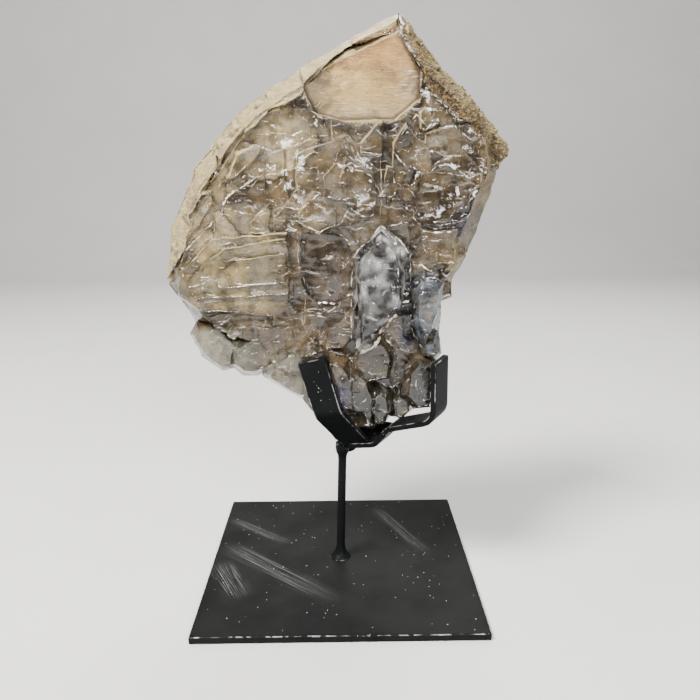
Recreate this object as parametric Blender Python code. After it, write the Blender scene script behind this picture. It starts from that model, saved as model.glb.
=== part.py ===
"""Elestial quartz crystal cluster held by a three-pronged black steel stand.

World frame: metres, +Z up, +X to the right of the show side, the show side faces -Y. The origin is
the centre of the underside of the base plate. Sizes below are millimetres; MM turns them into metres.
"""

import math
import random

import bmesh
import bpy
from mathutils import Matrix, Vector

MM = 0.001

# Stand, millimetres
PLATE_SIDE = 150.0
PLATE_THICKNESS = 4.0
PLATE_EDGE_ROUND = 0.6
ROD_RADIUS = 2.4
ROD_LEAN = 2.0
ROD_TOP = 76.0
BAR_WIDTH = 15.0
BAR_THICKNESS = 3.0
BEND_STEPS = 6
WELD_GAP = 0.3
BEND_GAP = 0.4
BEND_RADIUS = 9.0

# Each prong is one bent flat bar. Its arm has a compass angle from +X, a slope and a roll, in degrees.
# The runs are length and pitch from the arm, from the hub outwards; start is the middle of the bar.
PRONGS = {
    "prong_right": {
        "start": (3.0, 7.0, 74.2), "compass": -36.0, "slope": 19.6, "roll": 7.0,
        "runs": [(25.8, -5.6), (14.2, 31.4), (29.2, 0.0), (32.5, 67.8)],
    },
    "prong_front": {
        "start": (10.8, -2.4, 75.8), "compass": -120.7, "slope": 41.4, "roll": 19.7,
        "runs": [(42.0, 0.0), (30.5, 41.3)],
    },
    "prong_back": {
        "start": (7.2, 0.2, 75.9), "compass": 141.0, "slope": 38.0, "roll": 0.0,
        "runs": [(50.0, 0.0), (27.0, 46.0)],
    },
}
SEAT_WIDTH = 34.0
SEAT_DEPTH = 14.0
SEAT_OVERLAP = 2.0

# Stone, millimetres
STONE_BACK = 22.0
SHOULDER_SLOPE = math.tan(math.radians(48.0))
WELD_DISTANCE = 0.000002
BELLY_SWELL = 11.0
BELLY_CENTRE = (8.0, 178.0)
BELLY_REACH = (42.0, 62.0)

# Loose crystals of the show side and the far side: how many, how far apart, their least and greatest
# width, least and greatest height against the width, and how far they stay inside the outline
SHINGLE_SEED = 11
SHINGLE_TRIES = 6000
SHINGLE_RANGE_X = (-86, 82)
SHINGLE_RANGE_Z = (98, 290)
SHINGLES_FRONT = (46, 11.0, (9, 24), (0.7, 1.7), 3.0)
SHINGLES_BACK = (52, 12.0, (12, 30), (1.1, 2.2), 1.0)

# Etched blocks of the right shoulder: how many, the ends of the band, its width and its slope in depth
CRUST_BLOCKS = 30
CRUST_ENDS = ((34.0, 301.0), (84.0, 246.0))
CRUST_WIDTH = 9.0
CRUST_SLOPE = 1.75

# Crystals of the two flanks: how many, and the heights between which they stand
FLANK_CRYSTALS = 34
FLANK_RANGE_Z = (120, 262)

COLOURS = {
    "quartz": ((0.40, 0.34, 0.27, 1.0), 0.12, 0.0),
    "black_paint": ((0.012, 0.013, 0.013, 1.0), 0.42, 0.0),
}


def clear_scene():
    for item in list(bpy.data.objects):
        bpy.data.objects.remove(item, do_unlink=True)


def material(name):
    """Principled finish with the colour, roughness and metallic value listed for it."""
    found = bpy.data.materials.get(name)
    if found:
        return found
    colour, roughness, metallic = COLOURS[name]
    made = bpy.data.materials.new(name)
    made.use_nodes = True
    shader = made.node_tree.nodes["Principled BSDF"]
    shader.inputs["Base Color"].default_value = colour
    shader.inputs["Roughness"].default_value = roughness
    shader.inputs["Metallic"].default_value = metallic
    return made


def add_object(name, bm, finish, collection=None):
    """Object in metres from a mesh laid out in millimetres."""
    bmesh.ops.scale(bm, vec=Vector((MM, MM, MM)), verts=bm.verts)
    bmesh.ops.recalc_face_normals(bm, faces=bm.faces)
    mesh = bpy.data.meshes.new(name)
    bm.to_mesh(mesh)
    bm.free()
    mesh.materials.append(material(finish))
    made = bpy.data.objects.new(name, mesh)
    (collection or bpy.context.scene.collection).objects.link(made)
    return made


def as_cutter(item):
    item.hide_render = True
    item.display_type = "WIRE"
    return item


def add_boolean(target, operation, operand):
    """EXACT Boolean with one object or with every object of a collection."""
    step = target.modifiers.new(operation.lower(), "BOOLEAN")
    step.operation = operation
    step.solver = "EXACT"
    if isinstance(operand, bpy.types.Collection):
        step.operand_type = "COLLECTION"
        step.collection = operand
    else:
        step.object = operand
    return step


def bar_frame(compass, slope, roll):
    """Directions of a prong's arm: along it, across it and towards the stone."""
    compass, slope, roll = (math.radians(v) for v in (compass, slope, roll))
    out = Vector((math.cos(compass), math.sin(compass), 0.0))
    level = Vector((-math.sin(compass), math.cos(compass), 0.0))
    up = Vector((0.0, 0.0, 1.0))
    along = out * math.cos(slope) + up * math.sin(slope)
    normal = up * math.cos(slope) - out * math.sin(slope)
    across = level * math.cos(roll) + normal * math.sin(roll)
    inwards = normal * math.cos(roll) - level * math.sin(roll)
    return along, across, inwards


def bar_runs(prong):
    """Straight runs of a prong as start, direction, facing and length, before the bends are rounded."""
    along, across, inwards = bar_frame(prong["compass"], prong["slope"], prong["roll"])
    point = Vector(prong["start"])
    runs = []
    for length, pitch in prong["runs"]:
        angle = math.radians(pitch)
        direction = along * math.cos(angle) + inwards * math.sin(angle)
        facing = inwards * math.cos(angle) - along * math.sin(angle)
        runs.append((point, direction, facing, length))
        point = point + direction * length
    return runs, across


def bar_path(prong, grow):
    """Middle line of a prong with rounded bends, each point with the direction that faces the stone."""
    runs, across = bar_runs(prong)
    path = [(runs[0][0] - runs[0][1] * grow, runs[0][2])]
    for (start, direction, facing, length), (corner, onwards, faces, _) in zip(runs, runs[1:]):
        turn = math.atan2(onwards.dot(facing), onwards.dot(direction))
        side = math.copysign(1.0, turn)
        tangent = BEND_RADIUS * math.tan(abs(turn) / 2)
        centre = corner - direction * tangent + facing * BEND_RADIUS * side
        for i in range(BEND_STEPS + 1):
            angle = turn * i / BEND_STEPS
            towards = facing * math.cos(angle) - direction * math.sin(angle)
            path.append((centre - towards * BEND_RADIUS * side, towards))
    start, direction, facing, length = runs[-1]
    path.append((start + direction * (length + grow), facing))
    return path, across


def bar_mesh(prong, grow=0.0):
    """Flat bar swept along its path; grow makes it larger all round, for clearances."""
    path, across = bar_path(prong, grow)
    bm = bmesh.new()
    rings = []
    side = across * (BAR_WIDTH / 2 + grow)
    for point, facing in path:
        lift = facing * (BAR_THICKNESS / 2 + grow)
        corners = (point - side - lift, point + side - lift, point + side + lift, point - side + lift)
        rings.append([bm.verts.new(corner) for corner in corners])
    for a, b in zip(rings, rings[1:]):
        for i in range(4):
            j = (i + 1) % 4
            bm.faces.new((a[i], a[j], b[j], b[i]))
    bm.faces.new(rings[0])
    bm.faces.new(list(reversed(rings[-1])))
    bmesh.ops.recalc_face_normals(bm, faces=bm.faces)
    return bm


def prong_cutter(name, key, grow=WELD_GAP):
    return as_cutter(add_object(name, bar_mesh(PRONGS[key], grow), "black_paint"))


def seat_blocks(prong):
    """One block for each run, outside the bar's inner face, that trims the stone to a flat seat."""
    runs, across = bar_runs(prong)
    blocks = []
    for start, direction, facing, length in runs:
        bm = bmesh.new()
        bmesh.ops.create_cube(bm, size=1.0)
        top = BAR_THICKNESS / 2 + WELD_GAP
        for vert in bm.verts:
            x, y, z = vert.co
            spot = start + direction * ((x + 0.5) * (length + 2 * SEAT_OVERLAP) - SEAT_OVERLAP)
            vert.co = spot + across * y * SEAT_WIDTH + facing * (top - (0.5 - z) * SEAT_DEPTH)
        bmesh.ops.recalc_face_normals(bm, faces=bm.faces)
        blocks.append(bm)
    return blocks


def build_base_plate():
    bm = bmesh.new()
    bmesh.ops.create_cube(bm, size=1.0)
    bmesh.ops.scale(bm, vec=(PLATE_SIDE, PLATE_SIDE, PLATE_THICKNESS), verts=bm.verts)
    bmesh.ops.translate(bm, vec=(0.0, 0.0, PLATE_THICKNESS / 2), verts=bm.verts)
    plate = add_object("base_plate", bm, "black_paint")
    rounding = plate.modifiers.new("edge_round", "BEVEL")
    rounding.width = PLATE_EDGE_ROUND * MM
    rounding.segments = 2
    return plate


def build_stem():
    """Rod with the flared weld at its foot and the weld nugget at its top, turned as one profile."""
    profile = [(6.0, 0.0), (5.2, 1.2), (3.8, 2.6), (3.0, 4.6), (ROD_RADIUS, 8.0), (ROD_RADIUS, 62.0)]
    profile += [(2.7, 64.5), (3.6, 66.5), (4.0, 68.5), (4.0, ROD_TOP - PLATE_THICKNESS)]
    foot = PLATE_THICKNESS + WELD_GAP
    bm = bmesh.new()
    steps = 20
    rings = []
    for radius, height in profile:
        lean = ROD_LEAN * height / ROD_TOP
        ring = []
        for i in range(steps):
            angle = 2 * math.pi * i / steps
            spot = Vector((lean + radius * math.cos(angle), radius * math.sin(angle), foot + height))
            ring.append(bm.verts.new(spot))
        rings.append(ring)
    for a, b in zip(rings, rings[1:]):
        for i in range(steps):
            j = (i + 1) % steps
            bm.faces.new((a[i], a[j], b[j], b[i]))
    bm.faces.new(list(reversed(rings[0])))
    bm.faces.new(rings[-1])
    stem = add_object("stem", bm, "black_paint")
    for key in PRONGS:
        add_boolean(stem, "DIFFERENCE", prong_cutter("stem_clear_of_" + key, key))
    return stem


def build_prongs():
    """Three bars whose feet stack at the hub, each cut back to stay clear of the ones before it."""
    made = {}
    keys = list(PRONGS)
    for n, key in enumerate(keys):
        prong = add_object(key, bar_mesh(PRONGS[key]), "black_paint")
        for earlier in keys[:n]:
            add_boolean(prong, "DIFFERENCE", prong_cutter(key + "_clear_of_" + earlier, earlier))
            foot = add_object(key + "_foot_cut_" + earlier, seat_blocks(PRONGS[earlier])[0], "black_paint")
            add_boolean(prong, "DIFFERENCE", as_cutter(foot))
        made[key] = prong
    return made


def convex_block(planes, reach=400.0):
    """Closed convex solid: a large cube after each plane has taken away what lies outside it."""
    bm = bmesh.new()
    bmesh.ops.create_cube(bm, size=2 * reach)
    for point, normal in planes:
        whole = bm.verts[:] + bm.edges[:] + bm.faces[:]
        cut = bmesh.ops.bisect_plane(
            bm, geom=whole, dist=1e-5, plane_co=point, plane_no=normal, clear_outer=True
        )
        rim = [item for item in cut["geom_cut"] if isinstance(item, bmesh.types.BMEdge)]
        if rim:
            bmesh.ops.contextual_create(bm, geom=rim)
    return bm


def plate_planes(outline, front, middle, back, front_bevel, back_bevel):
    """Planes of a flat crystal: its outline (x, z) is widest at the middle depth, and its side faces
    lean in by the bevels towards the front and the back face. A list gives each edge its own bevel."""
    corners = [Vector((x, 0.0, z)) for x, z in outline]
    edges = list(zip(corners, corners[1:] + corners[:1]))
    turned = sum(a.x * b.z - b.x * a.z for a, b in edges)
    bevels = front_bevel if isinstance(front_bevel, (list, tuple)) else [front_bevel] * len(edges)
    planes = [
        (Vector((0.0, front, 0.0)), Vector((0.0, -1.0, 0.0))),
        (Vector((0.0, back, 0.0)), Vector((0.0, 1.0, 0.0))),
    ]
    for (a, b), bevel in zip(edges, bevels):
        side = (b - a) if turned > 0 else (a - b)
        outwards = Vector((side.z, 0.0, -side.x)).normalized()
        spot = Vector((a.x, middle, a.z))
        planes.append((spot, outwards * (middle - front) - Vector((0.0, bevel, 0.0))))
        planes.append((spot, outwards * (back - middle) + Vector((0.0, back_bevel, 0.0))))
    return planes


def turn_about(bm, pivot, tilt):
    """Turns a block by (about X, about Y, about Z) degrees round a point."""
    pivot = Vector(pivot)
    for degrees, axis in zip(tilt, "XYZ"):
        turn = Matrix.Rotation(math.radians(degrees), 3, axis)
        bmesh.ops.rotate(bm, cent=pivot, matrix=turn, verts=bm.verts)


def plate(outline, front, middle, back, front_bevel, back_bevel, tilt=(0, 0, 0)):
    bm = convex_block(plate_planes(outline, front, middle, back, front_bevel, back_bevel))
    centre = (
        sum(x for x, z in outline) / len(outline),
        (front + back) / 2,
        sum(z for x, z in outline) / len(outline),
    )
    turn_about(bm, centre, tilt)
    return bm


def pointed_outline(centre, top, width, height, lean=0.0, foot=0.4):
    """Outline of a crystal that stands on the common axis: straight sides, shoulders at the
    rhombohedron's slope up to the tip, and a blunter foot."""
    left, right = centre - width / 2, centre + width / 2
    tip = centre + lean * width
    return [
        (tip, top),
        (right, top - (right - tip) * SHOULDER_SLOPE),
        (right, top - height + foot * (right - tip)),
        (tip, top - height),
        (left, top - height + foot * (tip - left)),
        (left, top - (tip - left) * SHOULDER_SLOPE),
    ]


# Main bodies of the stone: outline in x and z, front, middle and back depth, the two bevels
BODIES = [
    # upper tabular crystal
    ([(32, 302), (84, 247), (85, 224), (72, 188), (50, 145), (-40, 128), (-78, 146), (-92, 170),
      (-86, 198), (-74, 229), (-51, 255), (-18, 277.5)], -14, 3, 24, 9.0, 19.0),
    # stem of the cluster down to its foot
    ([(57, 160), (56, 130), (44, 104), (22, 92.5), (8, 92), (-16, 104), (-42, 126), (-40, 160)],
     -17, 0, 25, 6.0, 11.0),
    # long crystal that carries the apex and the straight right edge
    ([(32, 303), (85, 246), (84, 225), (60, 168), (20, 160), (-8, 200), (-14, 268)],
     -15.5, 2, 27, 10.0, 23.0),
    # left wing
    ([(-18, 276), (-51, 255), (-75, 228), (-87, 197), (-92, 168), (-84, 157), (-22, 151), (-12, 200)],
     -15, 2, 21, 11.0, 15.0),
]

# Pointed crystals that make the belly of the far side: centre, top, width, height, lean, middle and
# back depth, back bevel
FAR_SIDE = [
    (16, 268, 58, 168, 0.1, 8, 34, 12.0),
    (-24, 232, 46, 118, -0.1, 6, 31, 11.0),
    (-54, 214, 40, 76, 0.2, 5, 27, 10.0),
    (48, 238, 31, 88, -0.2, 6, 31, 9.0),
    (22, 184, 40, 92, 0.15, 10, 38, 10.0),
    (-10, 162, 32, 58, -0.2, 6, 33, 9.0),
    (44, 164, 22, 54, 0.1, 6, 29, 7.0),
    (-44, 162, 36, 46, 0.0, 4, 23, 8.0),
    (4, 236, 26, 70, 0.2, 12, 38, 8.0),
    (64, 236, 20, 44, 0.0, 4, 22, 7.0),
]

# Rims, ledges and crystals of the show side, in the same form
SHOW_SIDE = [
    # outer cream rim along the upper left in four steps, each a slope up from the outline to a lip
    ([(32, 303), (8, 291.5), (7, 285), (30, 290.5)], -11.6, 2, 10, [4.5, 1, 1, 1], 5.0),
    ([(10, 292), (-18, 277.5), (-17, 265), (9, 286.5)], -15, 2, 12, [7.5, 1, 1, 1], 6.0),
    ([(-14, 279), (-36, 266), (-34, 253), (-15, 262)], -17.5, 3, 14, [12, 1, 1, 1], 6.0),
    ([(-33, 268), (-52, 254.5), (-45, 243), (-32, 252)], -17, 3, 14, [12, 1, 1, 1], 6.0),
    # outer slope lower down the left edge
    ([(-50, 256), (-66, 239.5), (-58, 232), (-44, 247)], -15.5, 3, 14, [9, 1, 1, 1], 6.0),
    ([(-64, 241.6), (-75, 227.6), (-80, 213), (-70, 214), (-58, 232)], -15, 4, 15, [8, 7, 1, 1, 1], 6.0),
    ([(-77, 220), (-88, 197), (-93, 170), (-84, 179), (-70, 198), (-62, 212), (-64, 222)],
     -18.5, 3, 16, [12, 12, 1.5, 1, 1, 1, 4], 6.0),
    # scalloped lip over the shaded front of the left wing
    ([(-47, 221), (-31, 225), (-13, 230), (-9, 237), (-30, 247), (-52, 240), (-62, 222), (-60, 209)],
     -18.7, -6, 6, 5.0, 3.0),
    ([(-62, 223), (-60, 208), (-68, 196), (-79, 190), (-80, 206), (-72, 220)], -18.2, -5, 6, 5.0, 3.0),
    # banded left wing: three growth steps, lowest at the foot
    ([(-66, 196), (-22, 199), (-22, 150), (-72, 152), (-86, 163), (-84, 178)], -17.0, -8, 4, 3.5, 2.0),
    ([(-60, 190), (-24, 195), (-23, 163), (-76, 160), (-80, 170), (-74, 178)], -18.2, -12, 0, 2.0, 1.0),
    ([(-52, 184), (-25, 186), (-25, 169), (-62, 166), (-66, 174)], -19.2, -14, 0, 1.6, 1.0),
    # ridge under the golden band and the shelf below it
    ([(-74, 156), (-22, 161), (-20, 140), (-44, 134), (-66, 142)], -14.8, -5, 5, 4.0, 3.0),
    ([(-46, 150), (-21, 152), (-17, 124), (-36, 126), (-46, 138)], -17.5, -8, 4, 4.0, 2.0),
    # pale lumps at the lower left
    ([(-82, 141), (-76, 128), (-64, 119.5), (-54, 122), (-50, 138), (-62, 150), (-77, 148)],
     -11, -1, 9, 5.0, 4.0),
    ([(-60, 124), (-53, 117.3), (-45, 117), (-34, 121), (-26, 138), (-46, 146), (-60, 136)],
     -15, -3, 9, 6.0, 4.0),
    ([(-42, 117), (-28, 108), (-19, 103), (-4, 112), (-6, 134), (-24, 140), (-42, 128)],
     -19, -4, 12, 6.0, 5.0),
    # centre: wide grey plates either side of the lens
    ([(-20, 236), (6, 246), (20, 234), (22, 204), (-4, 196), (-22, 200)], -16.4, -8, 0, 1.6, 2.0),
    ([(4, 236), (20, 228), (22, 212), (14, 202), (4, 208), (0, 222)], -17.5, -12, 0, 1.4, 1.0),
    ([(24, 232), (36, 229), (38, 222), (31, 213), (24, 207), (22, 220)], -17.2, -12, 0, 2.0, 1.0),
    ([(24, 212), (40, 208), (42, 176), (34, 168), (24, 178)], -16.8, -10, 0, 3.0, 1.0),
    # right window panel and the growth step along its foot
    ([(41, 228), (56, 231), (70, 222), (69, 204), (58, 197), (42, 197), (38.5, 206)],
     -18.0, -12, 0, 2.0, 1.0),
    ([(40, 199), (66, 199), (61, 184), (50, 172), (39, 176)], -17.2, -10, 0, 2.5, 1.0),
    ([(40, 246), (58, 250), (72, 240), (70, 224), (56, 229), (42, 226)], -17.0, -9, 0, 3.0, 1.0),
    # rim that turns round to the right side
    ([(76, 242), (85, 240), (84, 224), (74, 204), (66, 182), (60, 184), (70, 212)], -13, 0, 12, 5.0, 5.0),
    ([(82, 246), (89, 240), (90.5, 234), (86, 228.5), (80, 229), (78, 238)], -7, 0, 8, 3.0, 3.0),
    ([(62, 190), (69, 182), (62, 168), (52, 166), (50, 176)], -15, -2, 12, 5.0, 5.0),
]

# Standing crystals: the outline, front, middle and back depth, the bevels, the tilt in degrees
STANDING = [
    # the clear crystal in the middle
    ([(22.5, 198.6), (27, 194.8), (32.7, 188), (34.6, 171), (33.2, 159.5), (20, 145), (9.2, 136.5),
      (9.2, 182), (12, 187), (18.8, 194.8)], -35, -27, -6, 3.2, 2.0, (0, 0, 0)),
    # its bluish neighbour to the right
    ([(42.5, 172.6), (57.4, 171.8), (57.6, 168), (53.6, 158.5), (53.2, 144), (51, 134), (47, 131),
      (36.5, 153), (37.4, 168.5)], -33, -25, -4, 3.2, 2.0, (0, 0, 2)),
    # yellowish foot facet of the neighbour
    ([(42, 142), (52, 146), (56, 134), (50, 127), (43, 131)], -30, -20, -4, 4.0, 2.0, (0, 0, -4)),
    # column at the lower right, against the prong
    ([(47, 132), (55, 129), (55.5, 112), (50, 104), (40, 103), (33, 112), (34, 126), (40, 133)],
     -31, -22, 2, 3.5, 3.0, (0, 1, 0)),
    # foot of the cluster, five short crystals side by side
    ([(-6, 134), (6, 131), (11, 120), (10, 104), (3, 97), (-4, 103), (-8, 120)],
     -31, -22, 2, 3.5, 3.0, (0, -3, 0)),
    ([(5, 130), (15, 123), (20, 112), (19, 94), (10, 91), (5, 98), (3, 116)],
     -29, -21, 4, 3.0, 3.0, (0, 1, 3)),
    ([(18, 118), (28, 114), (31, 103), (26, 94), (18, 93), (15, 104)], -27, -18, 6, 3.5, 3.0, (0, 4, -3)),
    ([(30, 116), (40, 110), (41, 101), (34, 95.5), (27, 97), (26, 108)], -24, -15, 6, 3.5, 3.0, (0, 0, 0)),
    # low ledges under the clear crystal
    ([(8, 139), (24, 143), (30, 134), (28, 119), (14, 117), (7, 126)], -26, -18, -2, 3.0, 2.0, (2, 0, 0)),
    # shelf left of the clear crystal, its slanted top edge catches the light
    ([(-8, 146), (10, 164), (10, 140), (4, 132), (-10, 132)], -20.5, -12, 0, 3.0, 2.0, (0, 0, 0)),
    # short pieces behind the front prong
    ([(-20, 136), (-12, 143), (-4, 134), (-3, 106), (-12, 101), (-19, 110)],
     -34, -24, 2, 3.5, 3.0, (0, 0, 0)),
]

# Hollows of the show side: outline, floor depth, tilt of the floor about X in degrees
HOLLOWS = [
    # smooth tan window under the tip, deepest along its upper rims
    ([(-18, 264), (-5, 275.5), (9, 288), (19, 291.5), (29, 291.5), (42, 272), (42.5, 256), (30, 245),
      (4, 245), (-12, 251)], -11.0, 9.0),
    # golden window between the outer rim and the scalloped lip
    ([(-38, 251.5), (-20, 257), (-12, 250), (-10, 240), (-32, 234), (-48, 240)], -13.8, 1.5),
    # dark column window with its pointed foot
    ([(-19.5, 195.5), (2, 195.5), (9, 186), (9, 168), (-2, 157), (-11, 157), (-16.5, 164), (-19.8, 172)],
     -9.5, 0.0),
    # cleft with the golden facet
    ([(31.5, 214.5), (38.4, 226), (40.8, 222), (39.6, 212.5)], -12.5, 12.0),
    # pocket between the clear crystal and its neighbour
    ([(33.0, 156), (38.2, 149), (41.0, 138), (38.4, 133), (33.5, 137)], -14.0, 8.0),
    # curved bay above the right rim
    ([(57, 206), (63, 211.5), (68, 212), (69, 207), (63, 201.5), (58, 202)], -14.5, -6.0),
]

# Zones kept free of loose shingles on the show side: lowest and highest x and z
QUIET_ZONES = [
    (-20, 44, 246, 303),
    (5, 36, 130, 204),
    (34, 60, 122, 178),
    (-24, 12, 142, 202),
    (-54, -8, 224, 260),
]


def in_quiet_zone(x, z):
    return any(x0 < x < x1 and z0 < z < z1 for x0, x1, z0, z1 in QUIET_ZONES)


def inside(outline, x, z, margin):
    """True where a point of the front view lies inside a convex outline by the margin."""
    corners = list(outline)
    turned = sum(a[0] * b[1] - b[0] * a[1] for a, b in zip(corners, corners[1:] + corners[:1]))
    if turned < 0:
        corners.reverse()
    for (ax, az), (bx, bz) in zip(corners, corners[1:] + corners[:1]):
        length = math.hypot(bx - ax, bz - az)
        if ((bx - ax) * (z - az) - (bz - az) * (x - ax)) / length < margin:
            return False
    return True


def belly(x, z):
    """How far the far side swells past its flat back at a point of the view, in millimetres."""
    (x0, z0), (wide, tall) = BELLY_CENTRE, BELLY_REACH
    return BELLY_SWELL * math.exp(-(((x - x0) / wide) ** 2) - ((z - z0) / tall) ** 2)


def fits(outline, margin):
    return all(any(inside(body[0], x, z, margin) for body in BODIES) for x, z in outline)


def shingles(rng, count, spacing, widths, stretch, margin, quiet):
    """Outlines of loose crystals at random places where they stay inside the stone's outline."""
    found = []
    for _ in range(SHINGLE_TRIES):
        if len(found) == count:
            break
        x, z = rng.uniform(*SHINGLE_RANGE_X), rng.uniform(*SHINGLE_RANGE_Z)
        width = rng.uniform(*widths)
        height = width * rng.uniform(*stretch)
        lean, foot = rng.uniform(-0.4, 0.4), rng.uniform(0.0, 0.9)
        outline = pointed_outline(x, z + height / 2, width, height, lean, foot)
        if quiet and in_quiet_zone(x, z):
            continue
        if any(math.hypot(x - a, z - b) < spacing for a, b, _ in found) or not fits(outline, margin):
            continue
        found.append((x, z, outline))
    return found


def add_shingles(growth, rng):
    """Small parallel crystals whose faces overlap like shingles, low in front and bolder behind."""
    for x, z, outline in shingles(rng, *SHINGLES_FRONT, quiet=True):
        front = (-15.2 if x < -22 else -16.6) - rng.uniform(0.3, 1.5)
        tilt = (rng.uniform(-2, 2), rng.uniform(-3, 3), rng.uniform(-2.5, 2.5))
        growth.append(plate(outline, front, front + 4, 2, rng.uniform(0.8, 2.0), 1.0, tilt))
    for x, z, outline in shingles(rng, *SHINGLES_BACK, quiet=False):
        back = STONE_BACK + belly(x, z) + rng.uniform(1.0, 4.5)
        tilt = (rng.uniform(-4, 4), rng.uniform(-4, 4), rng.uniform(-4, 4))
        growth.append(plate(outline, 4, back - 9, back, 1.0, rng.uniform(3.0, 5.5), tilt))


def on_flank(z, side):
    """How far the stone's outline reaches at a height, to its right side or to its left."""
    reach = [x for x in range(0, 96) if any(inside(body[0], side * x, z, 0.0) for body in BODIES)]
    return side * max(reach)


def add_flanks(growth, rng):
    """Pointed crystals on both flanks, turned to the six prism directions of the common axis."""
    for n in range(FLANK_CRYSTALS):
        side = 1 if n % 2 else -1
        z = rng.uniform(*FLANK_RANGE_Z)
        width = rng.uniform(7, 17)
        height = width * rng.uniform(1.3, 2.6)
        turn = rng.choice((60, 120))
        depth = rng.uniform(-4, 4) if turn == 60 else rng.uniform(8, 20)
        outline = pointed_outline(on_flank(z, side), z + height / 2, width, height, 0.1, 0.6)
        bm = plate(outline, depth - 7, depth - 4, depth + 7, 1.5, 2.0, (0, 0, side * turn))
        while not all(any(inside(body[0], v.co.x, v.co.z, 0.2) for body in BODIES) for v in bm.verts):
            bmesh.ops.translate(bm, vec=(-side, 0.0, 0.0), verts=bm.verts)
        growth.append(bm)


def add_crust(growth, rng):
    """Etched blocks on the sloping band between the tip and the right shoulder."""
    (x0, z0), (x1, z1) = CRUST_ENDS
    length = math.hypot(x1 - x0, z1 - z0)
    for n in range(CRUST_BLOCKS):
        share = (n + rng.uniform(0.1, 0.9)) / CRUST_BLOCKS
        inset = rng.uniform(0.8, CRUST_WIDTH)
        x = x0 + (x1 - x0) * share + inset * (z1 - z0) / length
        z = z0 + (z1 - z0) * share - inset * (x1 - x0) / length
        depth = 1.0 - inset * CRUST_SLOPE
        width, height = rng.uniform(3.5, 9.0), rng.uniform(3.0, 7.0)
        outline = pointed_outline(x, z + height / 2, width, height, rng.uniform(-0.4, 0.4), 0.6)
        tilt = (rng.uniform(-12, 12), rng.uniform(-30, 10), rng.uniform(-12, 12))
        growth.append(plate(outline, depth - rng.uniform(0.8, 2.2), depth + 1.5, 8, 1.2, 1.0, tilt))


def build_quartz():
    rng = random.Random(SHINGLE_SEED)
    growth = [plate(*body) for body in BODIES[1:]]
    growth += [plate(*row) for row in SHOW_SIDE]
    growth += [plate(*row) for row in STANDING]
    for centre, top, width, height, lean, middle, back, bevel in FAR_SIDE:
        growth.append(plate(pointed_outline(centre, top, width, height, lean), 2, middle, back, 1.0, bevel))
    add_shingles(growth, rng)
    add_crust(growth, rng)
    add_flanks(growth, rng)
    joined = bpy.data.collections.new("quartz_growth")
    hollow = bpy.data.collections.new("quartz_hollows")
    for group in (joined, hollow):
        bpy.context.scene.collection.children.link(group)
    for n, bm in enumerate(growth):
        as_cutter(add_object(f"growth_{n}", bm, "quartz", joined))
    for n, (outline, floor, lean) in enumerate(HOLLOWS):
        bm = plate(outline, -70, -69, floor, 0.0, 1.5, (lean, 0, 0))
        as_cutter(add_object(f"hollow_{n}", bm, "quartz", hollow))
    for key, prong in PRONGS.items():
        for n, bm in enumerate(seat_blocks(prong) + [bar_mesh(prong, BEND_GAP)]):
            as_cutter(add_object(f"seat_{key}_{n}", bm, "quartz", hollow))
    quartz = add_object("quartz", plate(*BODIES[0]), "quartz")
    add_boolean(quartz, "UNION", joined)
    add_boolean(quartz, "DIFFERENCE", hollow)
    weld = quartz.modifiers.new("weld", "WELD")
    weld.merge_threshold = WELD_DISTANCE
    return quartz


def main():
    clear_scene()
    build_base_plate()
    build_prongs()
    build_stem()
    build_quartz()


main()
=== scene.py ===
"""Elestial quartz on its black metal stand, dressed for rendering.

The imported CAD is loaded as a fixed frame. The stone's node is replaced by a finely diced skin with growth
steps and frosted rims, with veils inside it; the stand's nodes are replaced by bars with softened, worn
edges. Everything is in metres in the CAD's own frame, and lengths whose names end in _mm are millimetres.
"""

import math
import random

import bmesh
import bpy
import numpy as np
from mathutils import Matrix, Vector
from mathutils.bvhtree import BVHTree
from mathutils.kdtree import KDTree


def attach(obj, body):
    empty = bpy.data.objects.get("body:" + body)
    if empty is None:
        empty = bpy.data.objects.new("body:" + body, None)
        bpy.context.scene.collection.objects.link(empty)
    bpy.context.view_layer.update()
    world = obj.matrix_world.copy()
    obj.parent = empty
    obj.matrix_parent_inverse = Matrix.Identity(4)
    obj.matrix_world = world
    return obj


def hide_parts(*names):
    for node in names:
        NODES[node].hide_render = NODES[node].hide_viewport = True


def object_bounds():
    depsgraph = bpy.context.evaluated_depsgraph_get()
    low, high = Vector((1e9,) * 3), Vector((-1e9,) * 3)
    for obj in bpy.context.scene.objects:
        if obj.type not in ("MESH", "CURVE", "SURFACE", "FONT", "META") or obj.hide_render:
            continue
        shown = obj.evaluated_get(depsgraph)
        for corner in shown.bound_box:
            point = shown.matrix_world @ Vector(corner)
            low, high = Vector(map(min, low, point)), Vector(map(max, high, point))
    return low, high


bl_info = {
    "name": "Elestial quartz on a stand",
    "version": (1, 0, 0),
    "blender": (4, 5, 0),
    "location": "3D View > Sidebar > Quartz",
    "description": "Dresses the packed quartz cluster and its three-pronged stand",
    "category": "Object",
}

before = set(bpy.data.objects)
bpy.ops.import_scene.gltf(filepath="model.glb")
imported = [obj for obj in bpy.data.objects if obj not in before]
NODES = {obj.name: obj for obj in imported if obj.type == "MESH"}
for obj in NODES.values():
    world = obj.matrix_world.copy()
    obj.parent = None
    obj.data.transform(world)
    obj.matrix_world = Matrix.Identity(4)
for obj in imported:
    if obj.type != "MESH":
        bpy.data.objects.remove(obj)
CAD_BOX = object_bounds()

MM = 0.001
# Points closer than this are joined, in metres
MERGE = 0.000001
# How steeply growth plates may lean, in plate heights per metre
PLATE_LEAN = 800.0
DICE_PASSES = 6
STAND_NODES = ("base_plate", "stem", "prong_front", "prong_right", "prong_back")

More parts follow.
